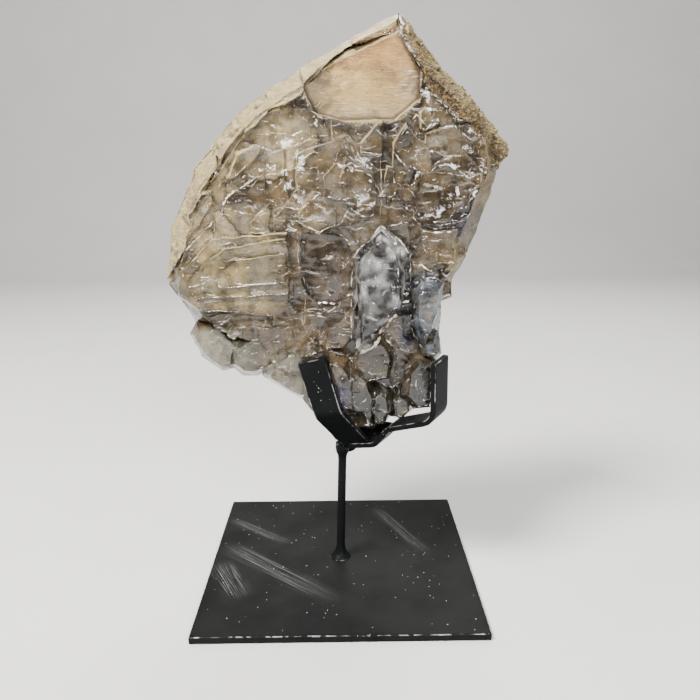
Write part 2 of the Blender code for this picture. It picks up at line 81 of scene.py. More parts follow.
# Outlines on the show side, x and z in millimetres
TAN_WINDOW = [(-17, 266), (-5, 275), (10, 288), (20, 291), (29, 291), (34, 288), (42, 272), (42, 258),
              (34, 246), (8, 245), (-9, 252), (-16, 259)]
RIM_BAND = [(33, 306), (28, 293), (8, 288.5), (-5, 276), (-17, 266.5), (-20, 260), (-29, 254), (-37, 253),
            (-45, 244), (-56, 236), (-66, 222), (-74, 206), (-80, 192), (-88, 176), (-94, 163), (-99, 200),
            (-85, 240), (-60, 266), (-30, 290), (0, 308)]
HONEY_LIP = [(-8, 242), (-15, 229), (-31, 224), (-42, 223), (-48, 220), (-59, 211), (-59, 204), (-68, 196),
             (-82, 183), (-90, 176), (-78, 192), (-72, 206), (-64, 222), (-54, 236), (-44, 245), (-30, 248)]
CRUST_BAND = [(33, 306), (35, 288), (43, 273), (44, 267), (51, 260), (60, 252), (70, 243), (76, 240),
              (94, 244), (64, 284)]
CRYSTAL_A = [(22.5, 198), (31, 191), (35, 184), (36, 173), (35, 165), (30, 158), (24, 150), (18, 141),
             (12, 136), (8.5, 138), (8.5, 159), (10, 173), (11, 185), (14, 189)]
CRYSTAL_B = [(37.5, 168), (43, 172), (57, 171.5), (60, 165), (57, 150), (52, 138), (47, 135), (41, 142),
             (37, 151)]

# Broad colour patches: x, z, reach across, reach up, colour, strength
PATCHES = [
    (-58, 180, 34, 26, (0.54, 0.41, 0.19), 0.85),
    (-36, 238, 34, 18, (0.88, 0.69, 0.37), 0.97),
    (-70, 200, 16, 14, (0.64, 0.49, 0.26), 0.9),
    (76, 204, 8, 34, (0.20, 0.13, 0.05), 0.9),
    (12, 272, 30, 28, (0.40, 0.26, 0.092), 0.98),
    (14, 286, 24, 12, (0.36, 0.20, 0.065), 0.85),
    (12, 250, 30, 8, (0.30, 0.225, 0.125), 0.75),
    (-86, 156, 8, 10, (0.14, 0.08, 0.035), 0.95),
    (-60, 160, 26, 5, (0.62, 0.46, 0.22), 0.8),
    (-62, 132, 24, 14, (0.40, 0.40, 0.29), 0.9),
    (-20, 120, 22, 16, (0.30, 0.28, 0.21), 0.7),
    (44, 132, 8, 6, (0.34, 0.27, 0.15), 0.8),
    (0, 112, 8, 12, (0.13, 0.12, 0.22), 0.8),
    (22, 104, 20, 20, (0.03, 0.034, 0.028), 0.95),
    (42, 116, 12, 18, (0.08, 0.075, 0.09), 0.9),
    (36, 142, 5, 12, (0.02, 0.02, 0.09), 0.95),
    (36, 218, 5, 8, (0.34, 0.21, 0.07), 0.8),
    (34, 208, 5, 5, (0.05, 0.03, 0.02), 0.9),
    (-6, 166, 14, 36, (0.085, 0.062, 0.045), 0.9),
    (18, 128, 14, 10, (0.09, 0.07, 0.05), 0.7),
    # painted shade: the dark violet patch on the right flank, for the dark seen through the stone there
    (68, 198, 10, 14, (0.09, 0.085, 0.15), 0.8),
    (62, 182, 12, 10, (0.36, 0.27, 0.12), 0.7),
    (10, 224, 34, 18, (0.17, 0.125, 0.07), 0.6),
    (84, 236, 8, 8, (0.42, 0.35, 0.23), 0.9),
]

# Milky clouds: x, z, reach across, reach up, strength
CLOUDS = [
    (-33, 236, 24, 5, 1.0), (-38, 205, 16, 6, 1.0), (-16, 210, 14, 5, 0.9), (-8, 201, 8, 5, 0.9),
    (-60, 190, 16, 4, 0.7), (-30, 186, 14, 4, 0.8), (-66, 172, 14, 4, 0.6), (-34, 168, 12, 5, 0.8),
    (12, 256, 22, 4, 0.9), (-2, 240, 18, 5, 0.7), (52, 238, 12, 8, 0.8), (62, 222, 12, 5, 0.6),
    (44, 206, 8, 8, 0.8), (14, 228, 8, 10, 0.5), (20, 160, 10, 8, 0.9), (22, 188, 6, 6, 0.9),
    (48, 160, 8, 12, 0.9), (-60, 133, 20, 10, 0.9), (-30, 122, 16, 6, 0.8), (-6, 118, 8, 8, 0.7),
    (-74, 138, 8, 8, 0.8), (-44, 148, 14, 4, 0.6), (6, 150, 6, 8, 0.5),
]

# Bright ledge edges seen on the show side: width in millimetres, before the ridges' own thickness, then x and
# z along each
LEDGES = [
    (1.3, (22.5, 199), (29, 195), (34, 190), (37.5, 184), (38, 173), (37.5, 164)),
    (3.6, (37, 165), (31, 157), (25, 151), (21, 141), (15, 136), (9, 134)),
    (2.8, (35, 158), (28, 151), (23, 143), (18, 137)),
    (0.9, (22.5, 199), (17, 192), (11, 187), (8, 181), (7.5, 165), (7, 150), (7, 138)),
    (0.8, (30, 194), (30, 184), (30, 172)),
    (0.3, (-20, 196), (-20, 177), (-17, 169), (-17, 147), (-14, 136)),
    (0.8, (43, 171), (39, 161), (37, 151), (40, 143), (44, 137), (48, 135)),
    (2.0, (-9, 228), (-21, 228), (-33, 225), (-40, 224), (-46, 220), (-52, 217), (-57, 211), (-59, 205)),
    (1.8, (-59, 205), (-67, 198), (-75, 190), (-86, 180)),
    (1.0, (-8, 236), (-13, 235), (-19, 230), (-24, 228), (-30, 225)),
    (1.3, (-8, 216), (-14, 211), (-18, 208), (-31, 209)),
    (1.0, (7, 209), (2, 201), (-4, 197)),
    (0.5, (7, 241), (10, 231), (17, 224), (22, 216), (23, 208)),
    (0.35, (22, 235), (23, 216), (22, 203)),
    (0.5, (39, 225), (36, 218), (41, 212), (39, 204), (45, 196)),
    (2.4, (43, 196.5), (51, 196), (60, 196)),
    (0.8, (55, 225), (62, 224), (70, 225)),
    (1.2, (58, 200), (67, 202), (70, 209)),
    (0.9, (34, 246), (40, 253), (46, 246)),
    (0.5, (-12, 255), (-7, 252), (2, 251.5)),
    (0.5, (17, 248), (24, 243), (33, 244), (36, 249)),
    (1.2, (-52, 207), (-41, 205), (-34, 206)),
    (1.1, (-78, 169), (-70, 170), (-64, 173)),
    (1.2, (-53, 171), (-45, 170), (-36, 171)),
    (0.9, (-15, 154), (-7, 152), (0, 159), (8, 165)),
    (0.4, (10, 237), (17, 222)),
    (0.9, (-40, 244), (-32, 245), (-21, 244), (-15, 247)),
    (0.8, (29, 235), (34, 229), (39, 227)),
    (0.9, (-23, 205), (-14, 203), (-4, 202)),
]

# How many small ledges are tried at random places, and how many veils there are
SMALL_LEDGES = 210
VEIL_COUNT = 240

# Scuffs on the plate: start x, y, end x, y and width, all in millimetres
SCUFFS = [(-74, 49, -31, 16, 5), (-74, 17, -2, -45, 9), (-72, -5, -53, -42, 10), (21, 65, 53, 2, 6)]

# Dust grains: how many on the plate, and where on the front prong in millimetres
PLATE_DUST = 110
PRONG_DUST = [
    (-9.9, -32.0, 127.0), (-12.5, -30.8, 121.4), (-10.1, -31.1, 118.2), (-8.8, -31.4, 116.9),
    (-9.1, -30.7, 111.4), (-4.5, -32.1, 112.3), (-11.0, -31.2, 119.6), (-10.4, -31.1, 116.0),
]

# Weld beads: place and radii in millimetres
BEADS = [
    ((16.5, 5.5, 79.3), (6.2, 6.0, 3.0)),
    ((20.0, 8.0, 81.0), (4.2, 5.0, 2.4)),
    ((12.0, 3.0, 77.0), (5.0, 6.0, 3.2)),
    ((5.5, 4.0, 73.0), (4.6, 5.0, 3.6)),
    ((1.6, 2.0, 73.2), (3.4, 4.0, 3.4)),
    ((26.5, 6.0, 83.2), (7.0, 5.5, 3.0)),
    ((13.0, 4.5, 81.6), (5.5, 5.5, 3.2)),
]

# Tones of the stone that vary from point to point
BASE_TINT = (0.175, 0.12, 0.058)
LIP_TINT = (0.66, 0.50, 0.26)
FAR_TINT = (0.065, 0.05, 0.038)
CRYSTAL_GLOWS = ((CRYSTAL_A, (0.86, 0.84, 0.80)), (CRYSTAL_B, (0.14, 0.18, 0.22)))
GLOW_FLOOR = (0.03, 0.03, 0.04)

# Tones of the stone's finishes
CLEAR_SHEEN = (0.78, 0.58, 0.38)
CLEAR_CREASE_SHADE = (0.07, 0.05, 0.035)
RIM_STREAK = (0.44, 0.365, 0.185)
RIM_STAIN = (0.20, 0.145, 0.085)
RIM_SPECKLE = (0.66, 0.58, 0.38)
RIM_CREASE_SHADE = (0.06, 0.04, 0.03)
# painted shade of the crust's pits and of its side next to the window
CRUST_PIT_SHADE = (0.045, 0.03, 0.022)
CRUST_INNER_SHADE = (0.62, 0.50, 0.40)
CRUST_SHADE = (0.84, 0.80, 0.72)
SATIN_SHADE = (0.62, 0.54, 0.45)
SATIN_STRIAE = (0.46, 0.30, 0.15)
SATIN_FOOT = (0.47, 0.36, 0.175)
SATIN_BLOTCHES = ((0.13, 0.09, 0.05), (0.33, 0.25, 0.14))
SATIN_CREASE_SHADE = (0.08, 0.05, 0.035)
LEDGE_TONE = (0.42, 0.34, 0.23)
VEIL_LIGHT = (0.95, 0.92, 0.86)

# Tones of the stand and the stage
PAINT_BLOOM = (0.006, 0.0065, 0.007)
BARE_METAL = (0.32, 0.32, 0.32)
PLATE_HAZE = (0.009, 0.0095, 0.0085)
SCRATCH = (0.30, 0.31, 0.29)
DUST_SPECK = (0.5, 0.5, 0.48)
DUST_TONES = ((0.45, 0.43, 0.38), (0.75, 0.74, 0.7))
FLOOR_MOTTLE = (0.52, 0.515, 0.50)
SKY_TONE = (0.86, 0.88, 0.9)
SKY_STRENGTH = 0.24

# Soft lights: name, place, the point each is turned to, size and colour, in metres
LIGHTS = [
    ("key", (-0.65, -0.55, 1.25), (0, 0, 0.19), (0.42, 0.42), (1.0, 0.98, 0.95)),
    ("fill", (0.35, -1.1, 0.75), (0, 0, 0.18), (0.7, 0.25), (0.95, 0.97, 1.0)),
    ("back", (0.2, 0.75, 1.0), (0, 0, 0.2), (0.9, 0.6), (1.0, 0.99, 0.97)),
]

# Angles in degrees: where the skin shades sharp, and from where an edge counts as a ridge or a crease
SKIN_SHARP = 18.0
SKIN_RIDGE = 22.0
STAND_SHARP = 50.0
STAND_CREASE = 40.0

# Where rays at the stone start, and how far in front of its middle the show side begins, in metres
RAY_START = 0.08
SHOW_SIDE_FROM = 0.004

# How far the marks of ridges and creases reach, and how far apart their points are
RIDGE_REACH = 1.5 * MM
CREASE_REACH = 2.5 * MM
RIDGE_SPACING = 0.8 * MM

# A veil's least distance from the surface along Y, and in any direction, and the least stone around it
VEIL_COVER = 5 * MM
VEIL_GAP = 4 * MM
VEIL_ROOM = 14 * MM

# Longest edge of the stand's mesh
STAND_FACET = 2.2 * MM


# Numbers over many points at once

def hashed(cells, seed):
    """A repeatable random number from 0 to 1 for each row of whole numbers."""
    mixed = np.full(len(cells), (seed * 374761393 + 668265263) & 0xFFFFFFFF, np.uint64)
    for column, factor in zip(cells.T, (73856093, 19349663, 83492791)):
        mixed ^= (column.astype(np.int64) & 0xFFFFFFFF).astype(np.uint64) * np.uint64(factor)
        mixed = (mixed * np.uint64(2246822519)) & np.uint64(0xFFFFFFFF)
        mixed ^= mixed >> np.uint64(15)
    return mixed.astype(np.float64) / 0xFFFFFFFF


def smooth_noise(points, reach, seed):
    """Value noise from -1 to 1 whose lumps are about one reach long."""
    spots = points / reach + 0.37 * seed
    cell = np.floor(spots).astype(np.int64)
    part = spots - cell
    part = part * part * (3 - 2 * part)
    total = np.zeros(len(points))
    for corner in np.ndindex(*(2,) * points.shape[1]):
        share = np.prod(np.where(corner, part, 1 - part), axis=1)
        total += hashed(cell + corner, seed) * share
    return total * 2 - 1


def rough_noise(points, reach, seed, octaves=4):
    """Value noise with finer lumps laid over it, each half the size and strength of the last."""
    total = np.zeros(len(points))
    size = 1.0
    for n in range(octaves):
        total += smooth_noise(points, reach * size, seed + n) * size
        size *= 0.5
    return total / 1.9


def tinted(base, share, colour):
    """Colours with a share of another mixed in, point by point."""
    share = share[:, None]
    return base * (1 - share) + np.array(colour) * share


def ease(value, low, high):
    """0 below low, 1 above high and a soft step between."""
    share = np.clip((value - low) / (high - low), 0.0, 1.0)
    return share * share * (3 - 2 * share)


def outline_depth(outline, x, z):
    """How far each point lies inside a closed outline, negative outside."""
    corners = np.array(outline, float)
    ends = np.roll(corners, -1, axis=0)
    nearest = np.full(len(x), np.inf)
    within = np.zeros(len(x), bool)
    for (ax, az), (bx, bz) in zip(corners, ends):
        run = np.array([bx - ax, bz - az])
        share = np.clip(((x - ax) * run[0] + (z - az) * run[1]) / (run @ run), 0, 1)
        nearest = np.minimum(nearest, np.hypot(x - ax - share * run[0], z - az - share * run[1]))
        crosses = (az > z) != (bz > z)
        level = np.divide(z - az, bz - az, out=np.zeros_like(z), where=crosses)
        within ^= crosses & (x < ax + level * run[0])
    return np.where(within, nearest, -nearest)


def plate_steps(x, z, size, stretch, seed, ramp=0.16):
    """Height from 0 to 1 of the growth plate that covers each point. Plates stand on the common axis and
    end in the rhombohedron's point, and a short ramp joins one to the next."""
    across, up = x / size, z / (size * stretch)
    cell = np.stack([np.floor(across), np.floor(up)], axis=1).astype(np.int64)
    near = np.full(len(x), np.inf)
    second = np.full(len(x), np.inf)
    height = np.zeros(len(x))
    other_height = np.zeros(len(x))
    for i in (-1, 0, 1):
        for j in (-1, 0, 1):
            other = cell + (i, j)
            dx = np.abs(across - other[:, 0] - 0.15 - 0.7 * hashed(other, seed))
            dz = np.abs(up - other[:, 1] - 0.15 - 0.7 * hashed(other, seed + 1))
            apart = np.maximum(dx * 1.1, dx * 0.5 + dz)
            level = hashed(other, seed + 2)
            closer, next_closer = apart < near, apart < second
            second = np.where(closer, near, np.where(next_closer, apart, second))
            other_height = np.where(closer, height, np.where(next_closer, level, other_height))
            near = np.where(closer, apart, near)
            height = np.where(closer, level, height)
    share = 0.5 + 0.5 * ease(second - near, 0.0, ramp)
    return height * share + other_height * (1 - share)


# Meshes

def merged_copy(node):
    """A copy of a CAD node's mesh with its loose triangles joined, in a new bmesh."""
    bm = bmesh.new()
    bm.from_mesh(node.data)
    bmesh.ops.remove_doubles(bm, verts=bm.verts, dist=MERGE)
    bmesh.ops.dissolve_degenerate(bm, edges=bm.edges, dist=MERGE)
    return bm


def mark_sharp(bm, degrees):
    """Shades smooth, but for the edges that fold more than an angle."""
    for face in bm.faces:
        face.smooth = True
    for edge in bm.edges:
        edge.smooth = not edge.is_manifold or edge.calc_face_angle(0.0) < math.radians(degrees)


def dice(bm, longest, away=None):
    """Halves edges longer than this, a few times over; those facing away from the show side may be longer."""
    for _ in range(DICE_PASSES):
        edges = [
            edge for edge in bm.edges
            if edge.calc_length() > (longest if away is None or shown(edge) else away)
        ]
        bmesh.ops.subdivide_edges(bm, edges=edges, cuts=1)
        bmesh.ops.triangulate(bm, faces=[face for face in bm.faces if len(face.verts) > 3])


def shown(edge):
    """Whether an edge lies on the show side."""
    return any(face.normal.y < -0.3 for face in edge.link_faces)


def mesh_from(bm, name):
    """Turns a bmesh into a mesh and frees it."""
    mesh = bpy.data.meshes.new(name)
    bm.to_mesh(mesh)
    bm.free()
    return mesh


def point_mesh(name, spots):
    mesh = bpy.data.meshes.new(name)
    mesh.from_pydata(spots, [], [])
    return mesh


def linked(name, data):
    """A new object in the scene."""
    made = bpy.data.objects.new(name, data)
    bpy.context.scene.collection.objects.link(made)
    return made


def new_piece(name, mesh, node=None):
    """A piece of the object that rides on its one body, in place of a CAD node where one is named."""
    piece = linked(name, mesh)
    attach(piece, "root")
    if node:
        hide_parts(node)
    return piece


def per_point(mesh, name):
    """Each point's place, as co, or its normal."""
    found = np.empty(len(mesh.vertices) * 3)
    mesh.vertices.foreach_get(name, found)
    return found.reshape(-1, 3)


def store(mesh, name, values):
    """Keeps one number or one colour for each point as a named attribute."""
    if values.ndim == 1:
        made = mesh.attributes.new(name, "FLOAT", "POINT")
        made.data.foreach_set("value", values.astype(np.float32))
    else:
        made = mesh.attributes.new(name, "FLOAT_COLOR", "POINT")
        full = np.ones((len(values), 4), np.float32)
        full[:, :3] = values
        made.data.foreach_set("color", full.ravel())


# Shader and geometry nodes

def new_material(name):
    made = bpy.data.materials.new(name)
    made.use_nodes = True
    return made, made.node_tree, made.node_tree.nodes["Principled BSDF"]


def add(tree, kind, inputs=None, **settings):
    """A shader node with its settings, its inputs set or linked."""
    node = tree.nodes.new(kind)
    for key, value in settings.items():
        setattr(node, key, value)
    for key, value in (inputs or {}).items():
        feed(tree, node.inputs[key], value)
    return node


def feed(tree, socket, value):
    if isinstance(value, bpy.types.NodeSocket):
        tree.links.new(value, socket)
    else:
        socket.default_value = value


def math_node(tree, operation, *values, clamp=False):
    node = add(tree, "ShaderNodeMath", operation=operation, use_clamp=clamp)
    for socket, value in zip(node.inputs, values):
        feed(tree, socket, value)
    return node.outputs[0]


def times(tree, a, b, clamp=False):
    return math_node(tree, "MULTIPLY", a, b, clamp=clamp)


def times_plus(tree, value, factor, added):
    return math_node(tree, "MULTIPLY_ADD", value, factor, added)


def vector_node(tree, operation, a, b):
    return add(tree, "ShaderNodeVectorMath", {0: a, 1: b}, operation=operation).outputs


def drift(tree, amount, pattern):
    """Noise as a shift of up to half an amount each way."""
    shift = add(tree, "ShaderNodeTexNoise", pattern).outputs["Color"]
    shift = vector_node(tree, "SUBTRACT", shift, (0.5, 0.5, 0.5))[0]
    return add(tree, "ShaderNodeVectorMath", {0: shift, "Scale": amount}, operation="SCALE").outputs[0]


def blend_colour(tree, share, a, b, how="MIX"):
    """One colour laid over another, each a socket or three numbers."""
    node = add(tree, "ShaderNodeMix", data_type="RGBA", blend_type=how)
    feed(tree, node.inputs[0], share)
    for socket, colour in ((node.inputs[6], a), (node.inputs[7], b)):
        feed(tree, socket, colour if isinstance(colour, bpy.types.NodeSocket) else (*colour, 1.0))
    return node.outputs[2]


def between(tree, value, low, high, out_low=0.0, out_high=1.0, smooth=True):
    """Maps a range of a value to another, held at its ends."""
    node = add(
        tree, "ShaderNodeMapRange", interpolation_type="SMOOTHSTEP" if smooth else "LINEAR", clamp=True
    )
    for socket, number in zip(node.inputs, (value, low, high, out_low, out_high)):
        feed(tree, socket, number)
    return node.outputs[0]


def mask(tree, name):
    """A number that a piece's mesh keeps for each point."""
    return add(tree, "ShaderNodeAttribute", attribute_name=name).outputs["Fac"]


def skin_tint(tree):
    return add(tree, "ShaderNodeAttribute", attribute_name="tint").outputs["Color"]


def object_place(tree):
    return add(tree, "ShaderNodeTexCoord").outputs["Object"]


def stretched(tree, place, scale, turn=(0, 0, 0), move=(0, 0, 0)):
    """Coordinates scaled, turned and moved, for a pattern in object space."""
    node = add(tree, "ShaderNodeMapping")
    node.inputs["Scale"].default_value = scale
    node.inputs["Rotation"].default_value = [math.radians(v) for v in turn]
    node.inputs["Location"].default_value = move
    tree.links.new(place, node.inputs["Vector"])
    return node.outputs[0]


def noise(tree, place, scale, detail=3.0, roughness=0.5, distortion=0.0):
    pattern = {"Vector": place, "Scale": scale, "Detail": detail}
    pattern |= {"Roughness": roughness, "Distortion": distortion}
    return add(tree, "ShaderNodeTexNoise", pattern).outputs[0]


def bumped(tree, shader, height, strength, distance):
    """Feeds the shader's normal from a height."""
    bump = add(tree, "ShaderNodeBump", {"Strength": strength, "Distance": distance, "Height": height})
    tree.links.new(bump.outputs[0], shader.inputs["Normal"])


def new_tree(name, kind, inputs, outputs):
    """Empty node tree with named sockets: returns it with its input and output sockets."""
    tree = bpy.data.node_groups.new(name, kind)
    for label, socket_kind, value in inputs:
        socket = tree.interface.new_socket(label, in_out="INPUT", socket_type="NodeSocket" + socket_kind)
        if value is not None:
            socket.default_value = value
    for label, socket_kind in outputs:
        tree.interface.new_socket(label, in_out="OUTPUT", socket_type="NodeSocket" + socket_kind)
    return tree, tree.nodes.new("NodeGroupInput").outputs, tree.nodes.new("NodeGroupOutput").inputs


def new_group(name, inputs, outputs):
    return new_tree(name, "ShaderNodeTree", inputs, outputs)


def use_group(tree, name, inputs):
    node = tree.nodes.new("ShaderNodeGroup")
    node.node_tree = bpy.data.node_groups[name]
    for key, value in inputs.items():
        feed(tree, node.inputs[key], value)
    return node.outputs


def geometry_tree(name, inputs):
    """Empty Geometry Nodes tree with named inputs and a finish: returns it with its inputs and its end."""
    inputs = [("Geometry", "Geometry", None)] + inputs + [("Finish", "Material", None)]
    tree, given, out = new_tree(name, "GeometryNodeTree", inputs, [("Geometry", "Geometry")])
    return tree, given, out[0]


def kept_value(tree, name):
    """A number that the mesh keeps for each point, in Geometry Nodes."""
    return add(tree, "GeometryNodeInputNamedAttribute", {"Name": name}, data_type="FLOAT").outputs[0]


def random_value(tree, low, high, seed):
    """A random number for each point, or three of them where the ends are given as three."""
    if isinstance(low, tuple):
        ends = {0: low, 1: high, "Seed": seed}
        return add(tree, "FunctionNodeRandomValue", ends, data_type="FLOAT_VECTOR").outputs[0]
    ends = {2: low, 3: high, "Seed": seed}
    return add(tree, "FunctionNodeRandomValue", ends, data_type="FLOAT").outputs[1]


def scattered(tree, points, shape, size, **more):
    """A copy of a shape at each point."""
    inputs = {"Points": points, "Instance": shape, "Scale": size, **more}
    return add(tree, "GeometryNodeInstanceOnPoints", inputs).outputs[0]


def finish_tree(tree, geometry, finish, out):
    """Ends a tree: everything made real, then given its material."""
    real = add(tree, "GeometryNodeRealizeInstances", {0: geometry})
    dressed = add(tree, "GeometryNodeSetMaterial", {"Geometry": real.outputs[0], "Material": finish})
    feed(tree, out, dressed.outputs[0])
    return tree


def grown(name, mesh, tree, values):
    """A piece made by running a Geometry Nodes tree on a mesh."""
    seed = linked(name + "_seed", mesh)
    modifier = seed.modifiers.new(tree.name, "NODES")
    modifier.node_group = tree
    for item in tree.interface.items_tree:
        if item.in_out == "INPUT" and item.name in values:
            modifier[item.identifier] = values[item.name]
    graph = bpy.context.evaluated_depsgraph_get()
    made = bpy.data.meshes.new_from_object(
        seed.evaluated_get(graph), preserve_all_data_layers=True, depsgraph=graph
    )
    made.name = name
    seed.modifiers.remove(modifier)
    bpy.data.objects.remove(seed)
    if not made.polygons:
        raise RuntimeError(name + " came out empty")
    return new_piece(name, made, None)


def ledge_tree():
    """Turns lines into low ridges that wander and taper."""
    tree, given, out = geometry_tree(
        "ledge_ridges", [("Step", "Float", 0.0007), ("Wander", "Float", 0.0012), ("Thickness", "Float", 0.7)]
    )
    line = add(tree, "GeometryNodeMeshToCurve", {"Mesh": given["Geometry"]}).outputs[0]
    line = add(tree, "GeometryNodeResampleCurve", {"Curve": line, "Length": given["Step"]}, mode="LENGTH")
    swing = drift(tree, given["Wander"], {"Scale": 330.0, "Detail": 3.0, "Roughness": 0.7})
    swing = vector_node(tree, "MULTIPLY", swing, (2.2, 0.15, 3.0))[0]
    line = add(tree, "GeometryNodeSetPosition", {"Geometry": line.outputs[0], "Offset": swing}).outputs[0]
    along = add(tree, "GeometryNodeSplineParameter").outputs["Factor"]
    ends = times(tree, along, math_node(tree, "SUBTRACT", 1.0, along))
    taper = math_node(tree, "POWER", times(tree, ends, 4.0), 0.5)
    lumps = add(tree, "ShaderNodeTexNoise", {"Scale": 520.0, "Detail": 2.0}).outputs[0]
    lumps = add(tree, "ShaderNodeMapRange", {0: lumps, 1: 0.42, 2: 0.62, 3: 0.05, 4: 1.0}).outputs[0]
    radius = times(tree, times(tree, taper, lumps), kept_value(tree, "wide"))
    radius = times(tree, radius, given["Thickness"])
    ring = add(tree, "GeometryNodeCurvePrimitiveCircle", {"Resolution": 5, "Radius": 0.5}).outputs[0]
    solid = add(
        tree,
        "GeometryNodeCurveToMesh",
        {"Curve": line, "Profile Curve": ring, "Scale": radius, "Fill Caps": True},
    ).outputs[0]
    solid = add(tree, "GeometryNodeSetShadeSmooth", {"Geometry": solid, "Shade Smooth": False}).outputs[0]
    return finish_tree(tree, solid, given["Finish"], out)


def crust_tree():
    """Scatters small blunt crystals over the crusty parts of the stone's skin."""
    tree, given, out = geometry_tree(
        "crust_grains", [("Density", "Float", 900000.0), ("Size", "Float", 0.0008), ("Seed", "Int", 7)]
    )
    there = {0: kept_value(tree, "crust"), 1: 0.5}
    there = add(tree, "FunctionNodeCompare", there, operation="GREATER_THAN").outputs[0]
    spread = add(
        tree,
        "GeometryNodeDistributePointsOnFaces",
        {"Mesh": given["Geometry"], "Selection": there, "Density": given["Density"], "Seed": given["Seed"]},
    ).outputs[0]
    grain = add(tree, "GeometryNodeMeshIcoSphere", {"Radius": given["Size"], "Subdivisions": 1}).outputs[0]
    turn = random_value(tree, (-3.1, -3.1, -3.1), (3.1, 3.1, 3.1), given["Seed"])
    size = random_value(tree, (0.35, 0.35, 0.4), (1.1, 1.1, 1.5), given["Seed"])
    return finish_tree(tree, scattered(tree, spread, grain, size, Rotation=turn), given["Finish"], out)


def veil_tree():
    """Puts a small curved flake at each point, level or leaning with the rhombohedron's faces."""
    tree, given, out = geometry_tree(
        "inner_veils", [("Size", "Float", 0.012), ("Curl", "Float", 0.004), ("Seed", "Int", 3)]
    )
    shape = {"Size X": 1.0, "Size Y": 0.7, "Vertices X": 6, "Vertices Y": 5}
    flake = add(tree, "GeometryNodeMeshGrid", shape).outputs[0]
    place = add(tree, "GeometryNodeInputPosition").outputs[0]
    reach = add(tree, "ShaderNodeVectorMath", {0: place}, operation="LENGTH").outputs["Value"]
    fade = add(tree, "ShaderNodeMapRange", {0: reach, 1: 0.12, 2: 0.46, 3: 1.0, 4: 0.0}).outputs[0]
    flake = add(
        tree,
        "GeometryNodeStoreNamedAttribute",
        {"Geometry": flake, "Name": "fade", "Value": fade},
        data_type="FLOAT",
        domain="POINT",
    ).outputs[0]
    turn = random_value(tree, (-0.5, -0.5, -0.6), (0.5, 0.5, 0.6), given["Seed"])
    size = times(tree, random_value(tree, 0.35, 1.2, given["Seed"]), given["Size"])
    placed = scattered(tree, given["Geometry"], flake, size, Rotation=turn)
    real = add(tree, "GeometryNodeRealizeInstances", {0: placed}).outputs[0]
    curl = drift(tree, given["Curl"], {"Scale": 170.0, "Detail": 2.0})
    bent = add(tree, "GeometryNodeSetPosition", {"Geometry": real, "Offset": curl}).outputs[0]
    return finish_tree(tree, bent, given["Finish"], out)


def dust_tree():
    """A tiny pale grain at each point."""
    tree, given, out = geometry_tree("dust_grains", [("Size", "Float", 0.00022), ("Seed", "Int", 4)])
    grain = add(tree, "GeometryNodeMeshIcoSphere", {"Radius": given["Size"], "Subdivisions": 1}).outputs[0]
    size = random_value(tree, 0.4, 1.2, given["Seed"])
    return finish_tree(tree, scattered(tree, given["Geometry"], grain, size), given["Finish"], out)


# Finishes of the stone

def growth_plates(tree, warped):
    """Height of plates whose outlines run level and upright, each leaning its own way."""
    heights = 0.0
    for n, (scale, weight) in enumerate(((62.0, 1.0), (140.0, 0.5))):
        spread = stretched(tree, warped, (1.0, 0.35, 0.62), (0, 0, 0), (0.3 * n, 0, 0))
        pattern = {"Vector": spread, "Scale": scale}
        cells = add(tree, "ShaderNodeTexVoronoi", pattern, distance="CHEBYCHEV").outputs
        level = add(tree, "ShaderNodeSeparateColor", {0: cells["Color"]}).outputs[0]
        heights = times_plus(tree, level, weight, heights)
        reach = vector_node(tree, "SUBTRACT", spread, cells["Position"])[0]
        lean = vector_node(tree, "SUBTRACT", cells["Color"], (0.5, 0.5, 0.5))[0]
        tilt = vector_node(tree, "DOT_PRODUCT", reach, lean)["Value"]
        heights = times_plus(tree, tilt, PLATE_LEAN, heights)
    return heights


def growth_lines(tree, place, warped):
    """Winding etch lines, where a noise field crosses chosen levels, and short level and upright glints on
    the edges of growth steps."""
    field = noise(tree, stretched(tree, place, (1.0, 0.6, 1.9)), 120.0, 4.0, 0.6, 1.0)
    lines = 0.0
    for level in (0.42, 0.57):
        gap = math_node(tree, "ABSOLUTE", math_node(tree, "SUBTRACT", field, level))
        lines = math_node(tree, "MAXIMUM", lines, between(tree, gap, 0.0, 0.011, 1.0, 0.0))
    patchy = between(tree, noise(tree, place, 65.0, 2.0), 0.47, 0.6)
    lines = times(tree, times(tree, lines, patchy), 0.25)
    glints = (((100.0, 100.0, 760.0), 0.655, 0.72), ((600.0, 110.0, 130.0), 0.74, 0.8))
    for n, (scales, low, high) in enumerate(glints):
        dashes = noise(tree, stretched(tree, warped, scales, (0, 0, 0), (3.0 * n, 0, 0)), 1.0, 1.5, 0.4)
        lines = math_node(tree, "MAXIMUM", lines, between(tree, dashes, low, high))
    return lines


def growth_relief_group():
    """Fine growth steps, horizontal striae, winding etch lines and level glints, as a height and masks."""
    tree, given, out = new_group(
        "growth_relief",
        [("Place", "Vector", None), ("Steps", "Float", 1.0), ("Lines", "Float", 1.0)],
        [("Height", "Float"), ("Lines", "Float"), ("Striae", "Float")],
    )
    place = given["Place"]
    warp = drift(tree, 0.014, {"Vector": place, "Scale": 70.0, "Detail": 2.0})
    warped = vector_node(tree, "ADD", place, warp)[0]
    striae = noise(tree, stretched(tree, place, (60.0, 60.0, 1900.0)), 1.0, 2.0)
    height = times_plus(tree, striae, 0.1, times(tree, growth_plates(tree, warped), given["Steps"]))
    lines = times(tree, growth_lines(tree, place, warped), given["Lines"], clamp=True)
    feed(tree, out["Height"], times_plus(tree, lines, 0.45, height))
    feed(tree, out["Lines"], lines)
    feed(tree, out["Striae"], striae)


